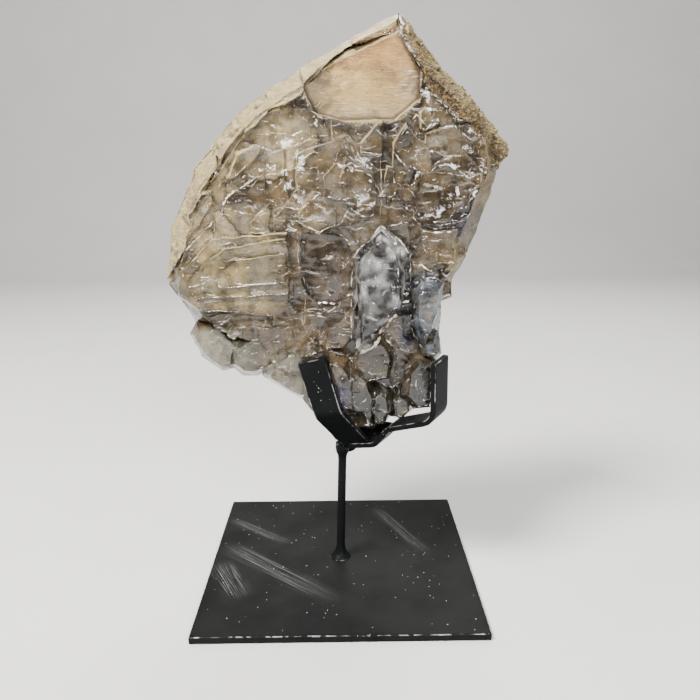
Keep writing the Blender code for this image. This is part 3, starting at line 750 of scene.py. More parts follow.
def clear_quartz(settings):
    """See-through smoky quartz: plain transmission, refraction index and absorption."""
    made, tree, shader = new_material("clear_quartz")
    place = object_place(tree)
    silk, veil, edge = (mask(tree, name) for name in ("silk", "veil", "edge"))
    quiet = math_node(tree, "SUBTRACT", 1.0, times(tree, silk, 0.85))
    relief = use_group(tree, "growth_relief", {"Place": place, "Steps": quiet, "Lines": quiet})
    mottle = between(tree, noise(tree, place, 150.0, 4.0, 0.55), 0.36, 0.66, 0.4, 1.5, smooth=False)
    colour = blend_colour(tree, 1.0, skin_tint(tree), mottle, "MULTIPLY")
    cloud = noise(tree, stretched(tree, place, (1.0, 1.0, 1.7)), 150.0, 6.0, 0.66, 0.6)
    cloud = between(tree, cloud, 0.42, 0.62)
    milk = times(tree, cloud, between(tree, veil, 0.05, 0.9), clamp=True)
    colour = blend_colour(tree, times(tree, milk, 0.8), colour, settings.veil_colour)
    sheen = times(tree, between(tree, relief["Striae"], 0.35, 0.7, 0.0, 0.45), silk)
    colour = blend_colour(tree, sheen, colour, CLEAR_SHEEN)
    # painted highlight: pale lines on the ridges, broken up; with the growth relief's etch lines and painted
    # glints they lighten the colour
    crumbs = between(tree, noise(tree, place, 170.0, 4.0, 0.65), 0.5, 0.58)
    ridge = times(tree, between(tree, edge, 0.7, 0.97), crumbs)
    bright = math_node(tree, "MAXIMUM", relief["Lines"], times(tree, ridge, 0.35))
    colour = blend_colour(tree, times(tree, bright, 0.85), colour, settings.etch_and_glint_colour)
    # painted shade: the creases are darkened
    valley = times(tree, between(tree, edge, -0.25, -0.95), 0.6)
    feed(tree, shader.inputs["Base Color"], blend_colour(tree, valley, colour, CLEAR_CREASE_SHADE))
    rough = between(tree, noise(tree, place, 900.0, 2.0), 0.3, 0.7, 0.05, 0.16)
    rough = times_plus(tree, silk, 0.2, times_plus(tree, milk, 0.22, rough))
    feed(tree, shader.inputs["Roughness"], rough)
    bumped(tree, shader, relief["Height"], 0.65, 0.0006)
    shader.inputs["IOR"].default_value = settings.ior
    shader.inputs["Transmission Weight"].default_value = settings.clearness
    shader.inputs["Coat Weight"].default_value = 0.3
    shader.inputs["Coat Roughness"].default_value = 0.08
    absorb = add(tree, "ShaderNodeVolumeAbsorption")
    absorb.inputs["Color"].default_value = (*settings.smoke_colour, 1.0)
    absorb.inputs["Density"].default_value = settings.smoke_density
    tree.links.new(absorb.outputs[0], tree.nodes["Material Output"].inputs["Volume"])
    return made


def crusted(tree, place, colour):
    """Darkens the crust and the side of it next to the window: its colour and its pits, with painted shade in
    the pits and along that side.
    """
    crust = mask(tree, "crust")
    axes = add(tree, "ShaderNodeSeparateXYZ", {0: place}).outputs
    inner = between(tree, math_node(tree, "ADD", axes[0], axes[2]), 0.315, 0.327, 1.0, 0.25)
    inner = times(tree, inner, crust)
    # painted shade in the pits and along the side next to the window
    pits = times(tree, between(tree, noise(tree, place, 420.0, 4.0, 0.65), 0.55, 0.44), inner)
    colour = blend_colour(tree, times(tree, pits, 0.85), colour, CRUST_PIT_SHADE)
    colour = blend_colour(tree, times(tree, inner, 0.8), colour, CRUST_INNER_SHADE, "MULTIPLY")
    return blend_colour(tree, crust, colour, CRUST_SHADE, "MULTIPLY"), pits


def frosted_quartz(settings):
    """Etched quartz of the cream rims, the crust and the far side: matt, fine grained and striated."""
    made, tree, shader = new_material("frosted_quartz")
    place = object_place(tree)
    broad = noise(tree, place, 130.0, 6.0, 0.65)
    grains = noise(tree, place, 1300.0, 3.0, 0.6)
    streak = noise(tree, stretched(tree, place, (160.0, 160.0, 1100.0), (0, 38, 0)), 1.0, 4.0, 0.6)
    pale = times_plus(tree, mask(tree, "pale"), 0.75, 0.1)
    colour = blend_colour(tree, pale, skin_tint(tree), settings.rim_colour)
    streaky = times(tree, pale, between(tree, streak, 0.42, 0.62, 0.0, 0.7))
    colour = blend_colour(tree, streaky, colour, RIM_STREAK)
    colour = blend_colour(tree, between(tree, broad, 0.56, 0.36, 0.0, 0.85), colour, RIM_STAIN)
    colour, pits = crusted(tree, place, colour)
    speckle = times(tree, pale, between(tree, grains, 0.55, 0.75, 0.0, 0.5))
    colour = blend_colour(tree, speckle, colour, RIM_SPECKLE)
    # painted shade: the creases are darkened
    crease = between(tree, mask(tree, "edge"), -0.3, -0.95, 0.0, 0.75)
    feed(tree, shader.inputs["Base Color"], blend_colour(tree, crease, colour, RIM_CREASE_SHADE))
    matt = between(tree, grains, 0.3, 0.7, 0.38, 0.62)
    feed(tree, shader.inputs["Roughness"], times(tree, matt, times_plus(tree, pale, 0.65, 0.4)))
    height = times_plus(tree, grains, 0.4, math_node(tree, "ADD", broad, streak))
    bumped(tree, shader, times_plus(tree, pits, -0.9, height), 0.9, 0.0009)
    shader.inputs["IOR"].default_value = settings.ior
    shader.inputs["Specular IOR Level"].default_value = 0.3
    return made


def satin_quartz(settings):
    """Silky milky quartz of the sunken window, with fine level striae."""
    made, tree, shader = new_material("satin_quartz")
    place = object_place(tree)
    tint, silk = skin_tint(tree), mask(tree, "silk")
    striae = noise(tree, stretched(tree, place, (160.0, 160.0, 1900.0), (0, 7, 0)), 1.0, 4.0, 0.7)
    clouds = noise(tree, stretched(tree, place, (1.0, 1.0, 1.6)), 60.0, 6.0, 0.62, 0.5)
    streaks = noise(tree, stretched(tree, place, (190.0, 190.0, 1300.0), (0, 9, 0)), 1.0, 4.0)
    streaks = between(tree, streaks, 0.55, 0.68)
    shaded = blend_colour(tree, 1.0, tint, SATIN_SHADE, "MULTIPLY")
    colour = blend_colour(tree, between(tree, clouds, 0.36, 0.62), shaded, tint)
    colour = blend_colour(tree, between(tree, striae, 0.46, 0.66, 0.0, 0.35), colour, SATIN_STRIAE)
    # the foot of the window and its lower margin
    level = add(tree, "ShaderNodeSeparateXYZ", {0: place}).outputs[2]
    foot = between(tree, times_plus(tree, clouds, 0.03, level), 0.264, 0.284, 0.7, 0.0)
    colour = blend_colour(tree, foot, colour, SATIN_FOOT)
    margin = between(tree, math_node(tree, "ADD", clouds, silk), 1.05, 1.5, 0.95, 0.0)
    blotch = blend_colour(tree, between(tree, clouds, 0.4, 0.6), *SATIN_BLOTCHES)
    colour = blend_colour(tree, margin, colour, blotch)
    rough_part = between(tree, silk, 0.985, 0.9, 0.12, 1.0)
    relief = use_group(tree, "growth_relief", {"Place": place, "Steps": rough_part, "Lines": rough_part})
    # the growth relief's etch lines and painted glints lighten the colour
    colour = blend_colour(tree, times(tree, relief["Lines"], 0.4), colour, settings.etch_and_glint_colour)
    colour = blend_colour(tree, times(tree, streaks, 0.12), colour, settings.etch_and_glint_colour)
    # painted shade: the creases are darkened
    crease = between(tree, mask(tree, "edge"), -0.2, -0.95, 0.0, 0.8)
    feed(tree, shader.inputs["Base Color"], blend_colour(tree, crease, colour, SATIN_CREASE_SHADE))
    feed(tree, shader.inputs["Roughness"], between(tree, clouds, 0.3, 0.7, 0.3, 0.48))
    height = times_plus(tree, clouds, 1.6, math_node(tree, "ADD", striae, streaks))
    bumped(tree, shader, math_node(tree, "ADD", height, relief["Height"]), 0.7, 0.0005)
    shader.inputs["IOR"].default_value = settings.ior
    shader.inputs["Specular IOR Level"].default_value = 0.2
    shader.inputs["Coat Weight"].default_value = 0.08
    return made


def ledge_quartz(settings):
    """Pale, glossy broken edge of a growth ledge."""
    made, tree, shader = new_material("ledge_quartz")
    place = object_place(tree)
    patchy = between(tree, noise(tree, place, 260.0, 4.0, 0.65), 0.4, 0.6)
    feed(tree, shader.inputs["Base Color"], blend_colour(tree, patchy, LEDGE_TONE, settings.etch_and_glint_colour))
    feed(tree, shader.inputs["Roughness"], between(tree, noise(tree, place, 900.0), 0.3, 0.7, 0.08, 0.3))
    shader.inputs["IOR"].default_value = settings.ior
    shader.inputs["Coat Weight"].default_value = 0.6
    return made


def milky_veil(settings):
    """Wispy cloud sheet inside the stone."""
    made, tree, shader = new_material("milky_veil")
    place = object_place(tree)
    wisps = between(tree, noise(tree, place, 420.0, 5.0, 0.7), 0.42, 0.66)
    feed(tree, shader.inputs["Alpha"], times(tree, wisps, mask(tree, "fade"), clamp=True))
    shade = blend_colour(tree, noise(tree, place, 130.0), settings.veil_colour, VEIL_LIGHT)
    feed(tree, shader.inputs["Base Color"], shade)
    shader.inputs["Roughness"].default_value = 0.5
    return made


# The stone's skin

def finish_of(fields, corners):
    """Which finish each triangle has, from the mean of its corners: 0 clear, 1 frosted, 2 satin."""
    frosted = fields["frost"][corners].mean(axis=1) > 0.5
    satin = fields["silk"][corners].mean(axis=1) > 0.5
    return np.where(frosted, 1, np.where(satin, 2, 0)).astype(np.int32)


def broad_tint(x, z, wobble, fine):
    """The stone's own colour with its broad patches."""
    tint = np.tile(np.array(BASE_TINT), (len(x), 1))
    for px, pz, rx, rz, colour, strength in PATCHES:
        away = np.hypot((x - px) / rx, (z - pz) / rz) + 0.4 * wobble + 0.15 * fine
        tint = tinted(tint, strength * ease(-away, -1.25, -0.35), colour)
    return tint


def crystal_glow(tint, x, y, z, flat, wobble, fine, front):
    """The tint with the two standing crystals' own glow and a dark line round each."""
    glow = rough_noise(flat, 8.0, 33) + 0.4 * fine
    for outline, glow_colour in CRYSTAL_GLOWS:
        inside = outline_depth(outline, x, z) + 2.0
        lit = ease(glow, -0.25, 0.35)[:, None] * np.array(glow_colour) + np.array(GLOW_FLOOR)
        tint = tinted(tint, ease(inside, 0.0, 1.0) * ease(-y, 11.0, 14.0) * 0.95, lit)
        around = ease(inside, -3.0, -0.4) * ease(-inside, -0.6, 0.3) * ease(wobble, -0.7, 0.0)
        tint *= (1 - 0.9 * around * front)[:, None]
    return tint


def milky_clouds(x, y, z, flat, wobble, fine):
    """How milky the stone is: faint clouds all over and the named ones on the show side."""
    veil = 0.5 * ease(rough_noise(flat * (1.0, 1.0, 1.5), 22.0, 9) + 0.3 * fine, 0.0, 0.45)
    for px, pz, rx, rz, strength in CLOUDS:
        away = np.hypot((x - px) / rx, (z - pz) / rz) + 0.5 * wobble + 0.5 * fine
        veil = np.maximum(veil, strength * ease(-away, -1.3, -0.2) * ease(-y, -20.0, -4.0))
    return veil


def stepped_relief(x, y, z, facing, wobble, silk):
    """Growth plates and level striae of the prism faces, as a height that is never above 0."""
    prism = ease(-np.abs(facing[:, 2]), -0.8, -0.4)
    plates = 0.7 * plate_steps(x, z, 15.0, 1.5, 21, 0.3)
    plates = plates + 0.4 * plate_steps(x + 0.6 * y, z, 7.5, 1.3, 41, 0.5)
    sideways = 0.5 * plate_steps(y, z, 8.0, 1.6, 61, 0.4)
    plates = np.where(np.abs(facing[:, 1]) > 0.5, plates, sideways)
    stria = np.abs(((z + 1.5 * wobble) / 3.6) % 1.0 - 0.5) * 2
    return -plates * (1 - 0.9 * silk * ease(z, 248.0, 254.0)) * prism - 0.10 * stria * prism * (1 - silk)


def stone_fields(spots, facing, edge):
    """Masks and colours of the stone for each point: frost, crust, veil, silk, tint and the relief in
    millimetres. Edge is 1 on a ridge, -1 in a crease."""
    flat = spots / MM
    x, y, z = flat.T
    nx, ny, nz = facing.T
    wobble = rough_noise(flat, 14.0, 3)
    fine = rough_noise(flat, 4.0, 5)
    front = ease(-ny, 0.35, 0.7)
    far = ease(ny, 0.1, 0.5)
    # the cream rim, the crust, the far side and the right flank
    band = outline_depth(RIM_BAND, x, z) + 1.6 * wobble + 0.8 * fine
    lip = outline_depth(HONEY_LIP, x, z) + 1.2 * wobble
    crusty = outline_depth(CRUST_BAND, x, z) + 2.2 * wobble + 1.2 * fine
    upper_left = ease(-0.62 * nx + 0.78 * nz, 0.30, 0.55) * ease(z - 1.1 * x, 165, 200) * ease(z, 170, 195)
    rim = np.maximum(ease(band, -0.6, 0.6) * ease(-y, -8.0, -4.0), upper_left)
    crust = ease(crusty, -0.8, 0.8) * ease(-y, -14.0, -8.0)
    crust = np.maximum(crust, ease(9.0 - np.hypot(x - 85, z - 236), 0.0, 3.0))
    pale = np.maximum(rim, crust)
    flank = ease(nx, 0.45, 0.65) * ease(x, 56.0, 62.0) * ease(z, 148, 156)
    # the satin window, its lower edge ragged and soft
    window = outline_depth(TAN_WINDOW, x, z) + 0.5 * wobble
    ragged = window - 4.0 * ease(-z, -268.0, -250.0) * (0.5 + 1.2 * fine + 0.8 * wobble)
    soft = np.maximum(ease(ragged, 0.0, 16.0), ease(z, 262.0, 280.0))
    silk = ease(ragged, -0.5, 0.5) * (0.56 + 0.44 * soft) * front
    # painted shadow: a dark band round the rim, the lip, the crust and the window
    shadow_fringe = np.maximum(ease(band, -5.0, -0.5), ease(lip, -4.5, -0.5))
    shadow_fringe = np.maximum(shadow_fringe, 0.8 * ease(crusty, -4.0, -0.5))
    outside = np.minimum.reduce([-band, -lip, -crusty]) > 0
    shadow_fringe = np.where(outside, shadow_fringe, 0) * front * ease(wobble, -0.6, 0.1)
    shadow_fringe = np.maximum(shadow_fringe, ease(window, -2.0, -0.5) * ease(-window, -3.0, -0.5) * 0.8 * front)
    tint = tinted(broad_tint(x, z, wobble, fine), 0.75 * ease(lip, 0.0, 3.0) * front, LIP_TINT)
    shade = rough_noise(flat * (1.0, 0.8, 0.75), 18.0, 15)
    tint *= (1 + 1.1 * shade * (1 - 0.7 * silk) + 0.15 * fine)[:, None].clip(0.2, 1.9)
    # painted shadow: the tint is darkened along this band
    tint *= (1 - 0.8 * shadow_fringe)[:, None]
    # painted shade: the right flank is darkened where it is not pale
    tint *= (1 - 0.6 * (flank * (1 - pale)))[:, None]
    tint = tinted(tint, far * (1 - pale) * ease(-wobble - 0.6 * fine, -0.45, 0.25), FAR_TINT)
    tint = crystal_glow(tint, x, y, z, flat, wobble, fine, front)
    thinned = (1 - 0.5 * silk) * (1 - shadow_fringe) * (1 - 0.8 * ease(-z, -122.0, -112.0) * ease(x, -6.0, 4.0))
    thinned *= 1 - 0.7 * ease(outline_depth(CRYSTAL_A, x, z), -3.5, 0.5)
    relief = stepped_relief(x, y, z, facing, wobble, silk)
    relief -= (0.9 + 0.9 * fine + 0.5 * wobble) * crust + 0.22 * (1 + fine) * rim
    relief -= 0.12 * (1 + fine)
    return {
        "frost": np.maximum.reduce([pale, ease(far, 0.0, 0.3), flank]),
        "crust": crust,
        "pale": pale,
        "veil": milky_clouds(x, y, z, flat, wobble, fine) * thinned,
        "silk": silk,
        "edge": edge,
        "tint": np.clip(tint, 0.01, 0.9),
        "relief": np.minimum(relief, 0.0),
    }


def waver(spots):
    """Small sideways shifts, in millimetres, that make straight ledges wander; none near the prongs or at
    the stone's farthest points."""
    box = np.array(CAD_BOX) / MM
    x, _, z = spots.T
    room = np.minimum.reduce([x - box[0, 0], box[1, 0] - x, box[1, 2] - z])
    share = ease(room, 0.5, 5.0) * ease(z, 120.0, 134.0)
    shift = np.stack([
        rough_noise(spots, 9.0, 71 + 7 * axis, 3) + 0.35 * rough_noise(spots, 3.0, 74 + 7 * axis, 2)
        for axis in range(3)
    ], axis=1)
    slow = np.stack([smooth_noise(spots, 24.0, 91 + axis) for axis in range(3)], axis=1)
    return (shift * (1.3, 0.4, 1.3) + slow * (1.0, 0.0, 1.8)) * share[:, None]


def nearness(tree, spots, reach):
    """1 at the nearest point of a tree, falling to 0 at the reach."""
    away = np.array([tree.find(spot)[2] for spot in spots])
    return 1 - ease(away, 0.0, reach)


def build_skin(settings):
    """The stone's own mesh diced finely, with its masks, its relief and its three finishes."""
    bm = merged_copy(NODES["quartz"])
    mark_sharp(bm, SKIN_SHARP)
    ridges, valleys = edge_lines(bm, SKIN_RIDGE, True), edge_lines(bm, SKIN_RIDGE, False)
    dice(bm, settings.facet_mm * MM, settings.far_facet_mm * MM)
    bmesh.ops.recalc_face_normals(bm, faces=bm.faces)
    mesh = mesh_from(bm, "quartz_skin")
    spots, facing = per_point(mesh, "co"), per_point(mesh, "normal")
    edge = nearness(ridges, spots, RIDGE_REACH) - nearness(valleys, spots, CREASE_REACH)
    fields = stone_fields(spots, facing, edge)
    moved = spots + facing * (fields["relief"] * MM)[:, None] + waver(spots / MM) * MM
    mesh.vertices.foreach_set("co", moved.ravel())
    for name in ("frost", "crust", "pale", "veil", "silk", "edge", "tint"):
        store(mesh, name, fields[name])
    for finish in (clear_quartz, frosted_quartz, satin_quartz):
        mesh.materials.append(finish(settings))
    corners = np.empty(len(mesh.polygons) * 3, np.int32)
    mesh.loops.foreach_get("vertex_index", corners)
    mesh.polygons.foreach_set("material_index", finish_of(fields, corners.reshape(-1, 3)))
    mesh.update()
    return new_piece("quartz_skin", mesh, "quartz")


def surface_of(skin):
    """The skin as a search tree for rays and nearest places."""
    return BVHTree.FromObject(skin, bpy.context.evaluated_depsgraph_get())


def met(tree, x, z, side):
    """Where a line along Y through x and z, in millimetres, first meets the stone, coming from one side, and
    the way the surface faces there."""
    return tree.ray_cast(Vector((x * MM, side * RAY_START, z * MM)), Vector((0, -side, 0)))[:2]


def on_show_side(tree, x, z):
    """The place on the show side at x and z in millimetres, or None off the stone."""
    spot, facing = met(tree, x, z, -1)
    return spot if spot and facing.y < -0.3 and spot.y < -SHOW_SIDE_FROM else None


# Ledges, crust and veils

def line_mesh(lines):
    """A mesh of open lines, each given as points with the width there kept as an attribute."""
    spots, edges, widths = [], [], []
    for line, width in lines:
        edges += [(len(spots) + i, len(spots) + i + 1) for i in range(len(line) - 1)]
        spots += line
        widths += [width * MM] * len(line)
    mesh = bpy.data.meshes.new("lines")
    mesh.from_pydata(spots, edges, [])
    store(mesh, "wide", np.array(widths))
    return mesh


def laid_on(tree, corners, step=1.0, jump=2.2):
    """Lines on the show side through corners given as x and z, broken where the surface jumps."""
    pieces, current = [], []
    for (ax, az), (bx, bz) in zip(corners, corners[1:]):
        count = max(1, int(math.hypot(bx - ax, bz - az) / step))
        for i in range(count):
            spot = on_show_side(tree, ax + (bx - ax) * i / count, az + (bz - az) * i / count)
            if spot is None or (current and abs(spot.y - current[-1].y) > jump * MM):
                pieces.append(current)
                current = []
            if spot is not None:
                current.append(spot)
    pieces.append(current)
    return [piece for piece in pieces if len(piece) > 2]


def near_outline(outline, x, z, reach):
    """Whether a place lies inside an outline or within reach of it, in millimetres."""
    return outline_depth(outline, np.array([x]), np.array([z]))[0] > -reach


def build_ledges(skin, settings):
    """Bright edges of growth ledges: the named ones, then small ones at random places."""
    tree = surface_of(skin)
    lines = [(piece, width) for width, *corners in LEDGES for piece in laid_on(tree, corners)]
    pick = random.Random(settings.seed)
    for _ in range(SMALL_LEDGES):
        x, z = pick.uniform(-88, 80), pick.uniform(100, 286)
        length = pick.uniform(2.5, 11.0)
        angle = math.radians(pick.choice((0, 0, 0, 0, 0, 0, 48, 90)) + pick.gauss(0, 7))
        if near_outline(TAN_WINDOW, x, z, 3) or near_outline(RIM_BAND, x, z, 4):
            continue
        dx, dz = math.cos(angle) * length / 2, math.sin(angle) * length / 2
        middle = (x + pick.uniform(-1, 1), z + pick.uniform(-1, 1))
        width = pick.uniform(0.2, 0.5)
        corners = [(x - dx, z - dz), middle, (x + dx, z + dz)]
        lines += [(piece, width) for piece in laid_on(tree, corners)]
    grown("ledge_ridges", line_mesh(lines), ledge_tree(), {"Finish": ledge_quartz(settings)})


def build_crust(skin):
    """Small crystals on the crusty shoulder, in the skin's own frosted finish."""
    grown("crust_grains", skin.data, crust_tree(), {"Finish": bpy.data.materials["frosted_quartz"]})


def build_veils(skin, settings):
    """Flakes at random places well inside the stone, the nearest to the show side the most."""
    tree = surface_of(skin)
    pick = random.Random(settings.seed + 1)
    spots = []
    while len(spots) < VEIL_COUNT:
        x, z = pick.uniform(-85, 80), pick.uniform(98, 285)
        front, back = met(tree, x, z, -1)[0], met(tree, x, z, 1)[0]
        if front is None or back is None or back.y - front.y < VEIL_ROOM:
            continue
        depth = VEIL_COVER + pick.random() ** 2 * (back.y - front.y - 2 * VEIL_COVER)
        spot = Vector((x * MM, front.y + depth, z * MM))
        if tree.find_nearest(spot)[3] > VEIL_GAP:
            spots.append(spot)
    grown("inner_veils", point_mesh("veil_places", spots), veil_tree(), {"Finish": milky_veil(settings)})


# The stand

def scuff_group():
    """A patch of fine parallel scratches: X runs along it from 0 to 1, Y across it."""
    tree, given, out = new_group("scuff", [("Place", "Vector", None)], [("Mask", "Float")])
    axes = add(tree, "ShaderNodeSeparateXYZ", {0: given["Place"]}).outputs
    along = math_node(tree, "ABSOLUTE", times_plus(tree, axes[0], 2.0, -1.0))
    across = math_node(tree, "ABSOLUTE", axes[1])
    along = between(tree, along, 0.3, 1.1, 1.0, 0.0)
    inside = times(tree, along, between(tree, across, 0.2, 1.0, 1.0, 0.0))
    hairs = noise(tree, stretched(tree, given["Place"], (1.2, 14.0, 0.0)), 1.0, 5.0, 0.7)
    feed(tree, out["Mask"], times(tree, inside, between(tree, hairs, 0.46, 0.7)))


def scuffed(tree, place, level, colour):
    """Lays the scuffs on the plate's upper face."""
    for ax, ay, bx, by, width in SCUFFS:
        run = math.hypot(bx - ax, by - ay) * MM
        heading = math.degrees(math.atan2(by - ay, bx - ax))
        moved = vector_node(tree, "SUBTRACT", place, (ax * MM, ay * MM, 0))[0]
        turned = stretched(tree, moved, (1, 1, 1), (0, 0, -heading))
        scaled = stretched(tree, turned, (1 / run, 1 / (width * MM), 1))
        mark = times(tree, use_group(tree, "scuff", {"Place": scaled})["Mask"], level)
        colour = blend_colour(tree, times(tree, mark, 0.5), colour, SCRATCH)
    return colour


def powder_coat(settings):
    """Black powder coat, worn at the edges, with haze, scuffs and dust on the plate."""
    made, tree, shader = new_material("powder_coat")
    place = object_place(tree)
    grain = noise(tree, place, 2600.0, 2.0, 0.6)
    broad = noise(tree, place, 40.0, 3.0)
    flakes = between(tree, noise(tree, place, 260.0, 4.0), 0.46, 0.56)
    chipped = times(tree, between(tree, mask(tree, "wear"), 0.55, 0.95), flakes)
    colour = blend_colour(tree, between(tree, broad, 0.35, 0.7), settings.paint_colour, PAINT_BLOOM)
    colour = blend_colour(tree, chipped, colour, BARE_METAL)
    level = add(tree, "ShaderNodeSeparateXYZ", {0: place}).outputs[2]
    level = between(tree, level, 0.0042, 0.006, 1.0, 0.0)
    haze = times(tree, level, between(tree, broad, 0.3, 0.7, 0.25, 1.0))
    colour = blend_colour(tree, times(tree, haze, 0.8), colour, PLATE_HAZE)
    colour = scuffed(tree, place, level, colour)
    specks = add(tree, "ShaderNodeTexVoronoi", {"Vector": place, "Scale": 190.0, "Randomness": 1.0})
    specks = between(tree, specks.outputs["Distance"], 0.035, 0.075, 1.0, 0.0)
    dust = times(tree, specks, between(tree, noise(tree, place, 30.0, 2.0), 0.5, 0.62))
    colour = blend_colour(tree, times(tree, dust, settings.dust), colour, DUST_SPECK)
    feed(tree, shader.inputs["Base Color"], colour)
    feed(tree, shader.inputs["Roughness"], between(tree, grain, 0.3, 0.7, 0.3, 0.44))
    feed(tree, shader.inputs["Metallic"], chipped)
    shader.inputs["Specular IOR Level"].default_value = 0.03
    bumped(tree, shader, grain, 0.35, 0.00012)
    return made


def build_beads(finish):
    """Lumpy weld beads where the bars meet the rod."""
    bm = bmesh.new()
    for n, (place, radii) in enumerate(BEADS):
        made = bmesh.ops.create_icosphere(bm, subdivisions=3, radius=1.0)["verts"]
        ball = np.array([vert.co for vert in made])
        swell = 1 + 0.16 * smooth_noise(ball + n, 0.6, 5)
        for vert, factor in zip(made, swell):
            vert.co = (Vector(vert.co) * factor * Vector(radii) + Vector(place)) * MM
    for face in bm.faces:
        face.smooth = True
    mesh = mesh_from(bm, "weld_beads")
    mesh.materials.append(finish)
    new_piece("weld_beads", mesh, None)


def build_dust():
    """Pale grains at named places on the front prong and at random ones on the plate."""
    pick = random.Random(8)
    spots = [Vector(spot) * MM for spot in PRONG_DUST]
    spots += [Vector((pick.uniform(-72, 72), pick.uniform(-72, 72), 4.0)) * MM for _ in range(PLATE_DUST)]
    made, tree, shader = new_material("pale_dust")
    shade = blend_colour(tree, noise(tree, object_place(tree), 60.0), *DUST_TONES)
    feed(tree, shader.inputs["Base Color"], shade)
    shader.inputs["Roughness"].default_value = 0.9
    grown("dust_grains", point_mesh("dust_places", spots), dust_tree(), {"Finish": made})


def folded(edge, degrees):
    """Whether the faces at an edge meet at more than an angle."""
    return edge.is_manifold and edge.calc_face_angle(0.0) > math.radians(degrees)


def edge_lines(bm, degrees, convex=True):
    """Points spaced along every ridge of a mesh, or along every crease, as a search tree."""
    found = []
    for edge in bm.edges:
        if folded(edge, degrees) and edge.is_convex == convex:
            a, b = (vert.co for vert in edge.verts)
            steps = max(1, int((b - a).length / RIDGE_SPACING))
            found += [a.lerp(b, i / steps) for i in range(steps + 1)]
    tree = KDTree(len(found))
    for n, spot in enumerate(found):
        tree.insert(spot, n)
    tree.balance()
    return tree


def build_stand_piece(name, settings, finish):
    """A stand part over its CAD node: its creases rounded, and each point's nearness to one kept as wear."""
    bm = merged_copy(NODES[name])
    bmesh.ops.dissolve_limit(bm, angle_limit=math.radians(1.0), verts=bm.verts, edges=bm.edges)
    near = edge_lines(bm, STAND_CREASE)
    bmesh.ops.bevel(
        bm,
        geom=[edge for edge in bm.edges if folded(edge, STAND_CREASE)],
        offset=settings.edge_round_mm * MM,
        segments=2,
        profile=0.6,
        affect="EDGES",
        clamp_overlap=True,
    )
    bmesh.ops.triangulate(bm, faces=bm.faces)
    mark_sharp(bm, STAND_SHARP)
    dice(bm, STAND_FACET)
    mesh = mesh_from(bm, name + "_coated")
    away = np.array([near.find(spot)[2] for spot in per_point(mesh, "co")]) / MM
    store(mesh, "wear", 1 - ease(away, 0.1, 0.9))
    mesh.materials.append(finish)
    return new_piece(name + "_coated", mesh, name)


# The stage

def build_floor(settings):
    """Floor that curves up into a backdrop behind the stand."""
    near, depth, rise, radius, half_width, steps = -2.2, 1.2, 1.6, 0.5, 3.0, 12
    profile = [(near, 0.0), (depth, 0.0)]
    for n in range(1, steps + 1):
        angle = math.pi / 2 * n / steps
        profile.append((depth + radius * math.sin(angle), radius * (1 - math.cos(angle))))
    profile.append((depth + radius, rise))
    bm = bmesh.new()
    rows = [[bm.verts.new((x, y, z)) for y, z in profile] for x in (-half_width, half_width)]
    for n in range(len(profile) - 1):
        face = bm.faces.new((rows[0][n], rows[1][n], rows[1][n + 1], rows[0][n + 1]))
        face.smooth = True
    mesh = mesh_from(bm, "floor")
    made, tree, shader = new_material("pale_floor")
    mottle = noise(tree, object_place(tree), 9.0, 4.0)
    feed(tree, shader.inputs["Base Color"], blend_colour(tree, mottle, settings.floor_colour, FLOOR_MOTTLE))
    shader.inputs["Roughness"].default_value = 0.75
    mesh.materials.append(made)
    linked("floor", mesh)


def add_light(name, power, place, aim, size, colour):
    """A soft rectangular light turned towards a point."""
    data = bpy.data.lights.new(name, "AREA")
    data.shape = "RECTANGLE"
    data.size, data.size_y = size
    data.energy = power
    data.color = colour
    lamp = linked(name, data)
    lamp.location = place
    lamp.rotation_euler = (Vector(aim) - Vector(place)).to_track_quat("-Z", "Y").to_euler()


def build_camera(settings):
    """Camera at the place found from the corners of the base plate."""
    angles = (settings.camera_tilt, settings.camera_yaw, settings.camera_roll)
    tilt, yaw, roll = (math.radians(angle) for angle in angles)
    forward = Vector((math.sin(yaw) * math.cos(tilt), math.cos(yaw) * math.cos(tilt), -math.sin(tilt)))
    level = Vector((math.cos(yaw), -math.sin(yaw), 0.0))
    upward = level.cross(forward)
    right = level * math.cos(roll) + upward * math.sin(roll)
    up = upward * math.cos(roll) - level * math.sin(roll)
    data = bpy.data.cameras.new("camera")
    data.sensor_width = 36.0
    data.lens = settings.lens
    data.clip_start = 0.01
    camera = linked("camera", data)
    turn = Matrix((right, up, -forward)).transposed().to_4x4()
    camera.matrix_world = Matrix.Translation(settings.camera_place) @ turn
    bpy.context.scene.camera = camera


# Settings, operators and the panel

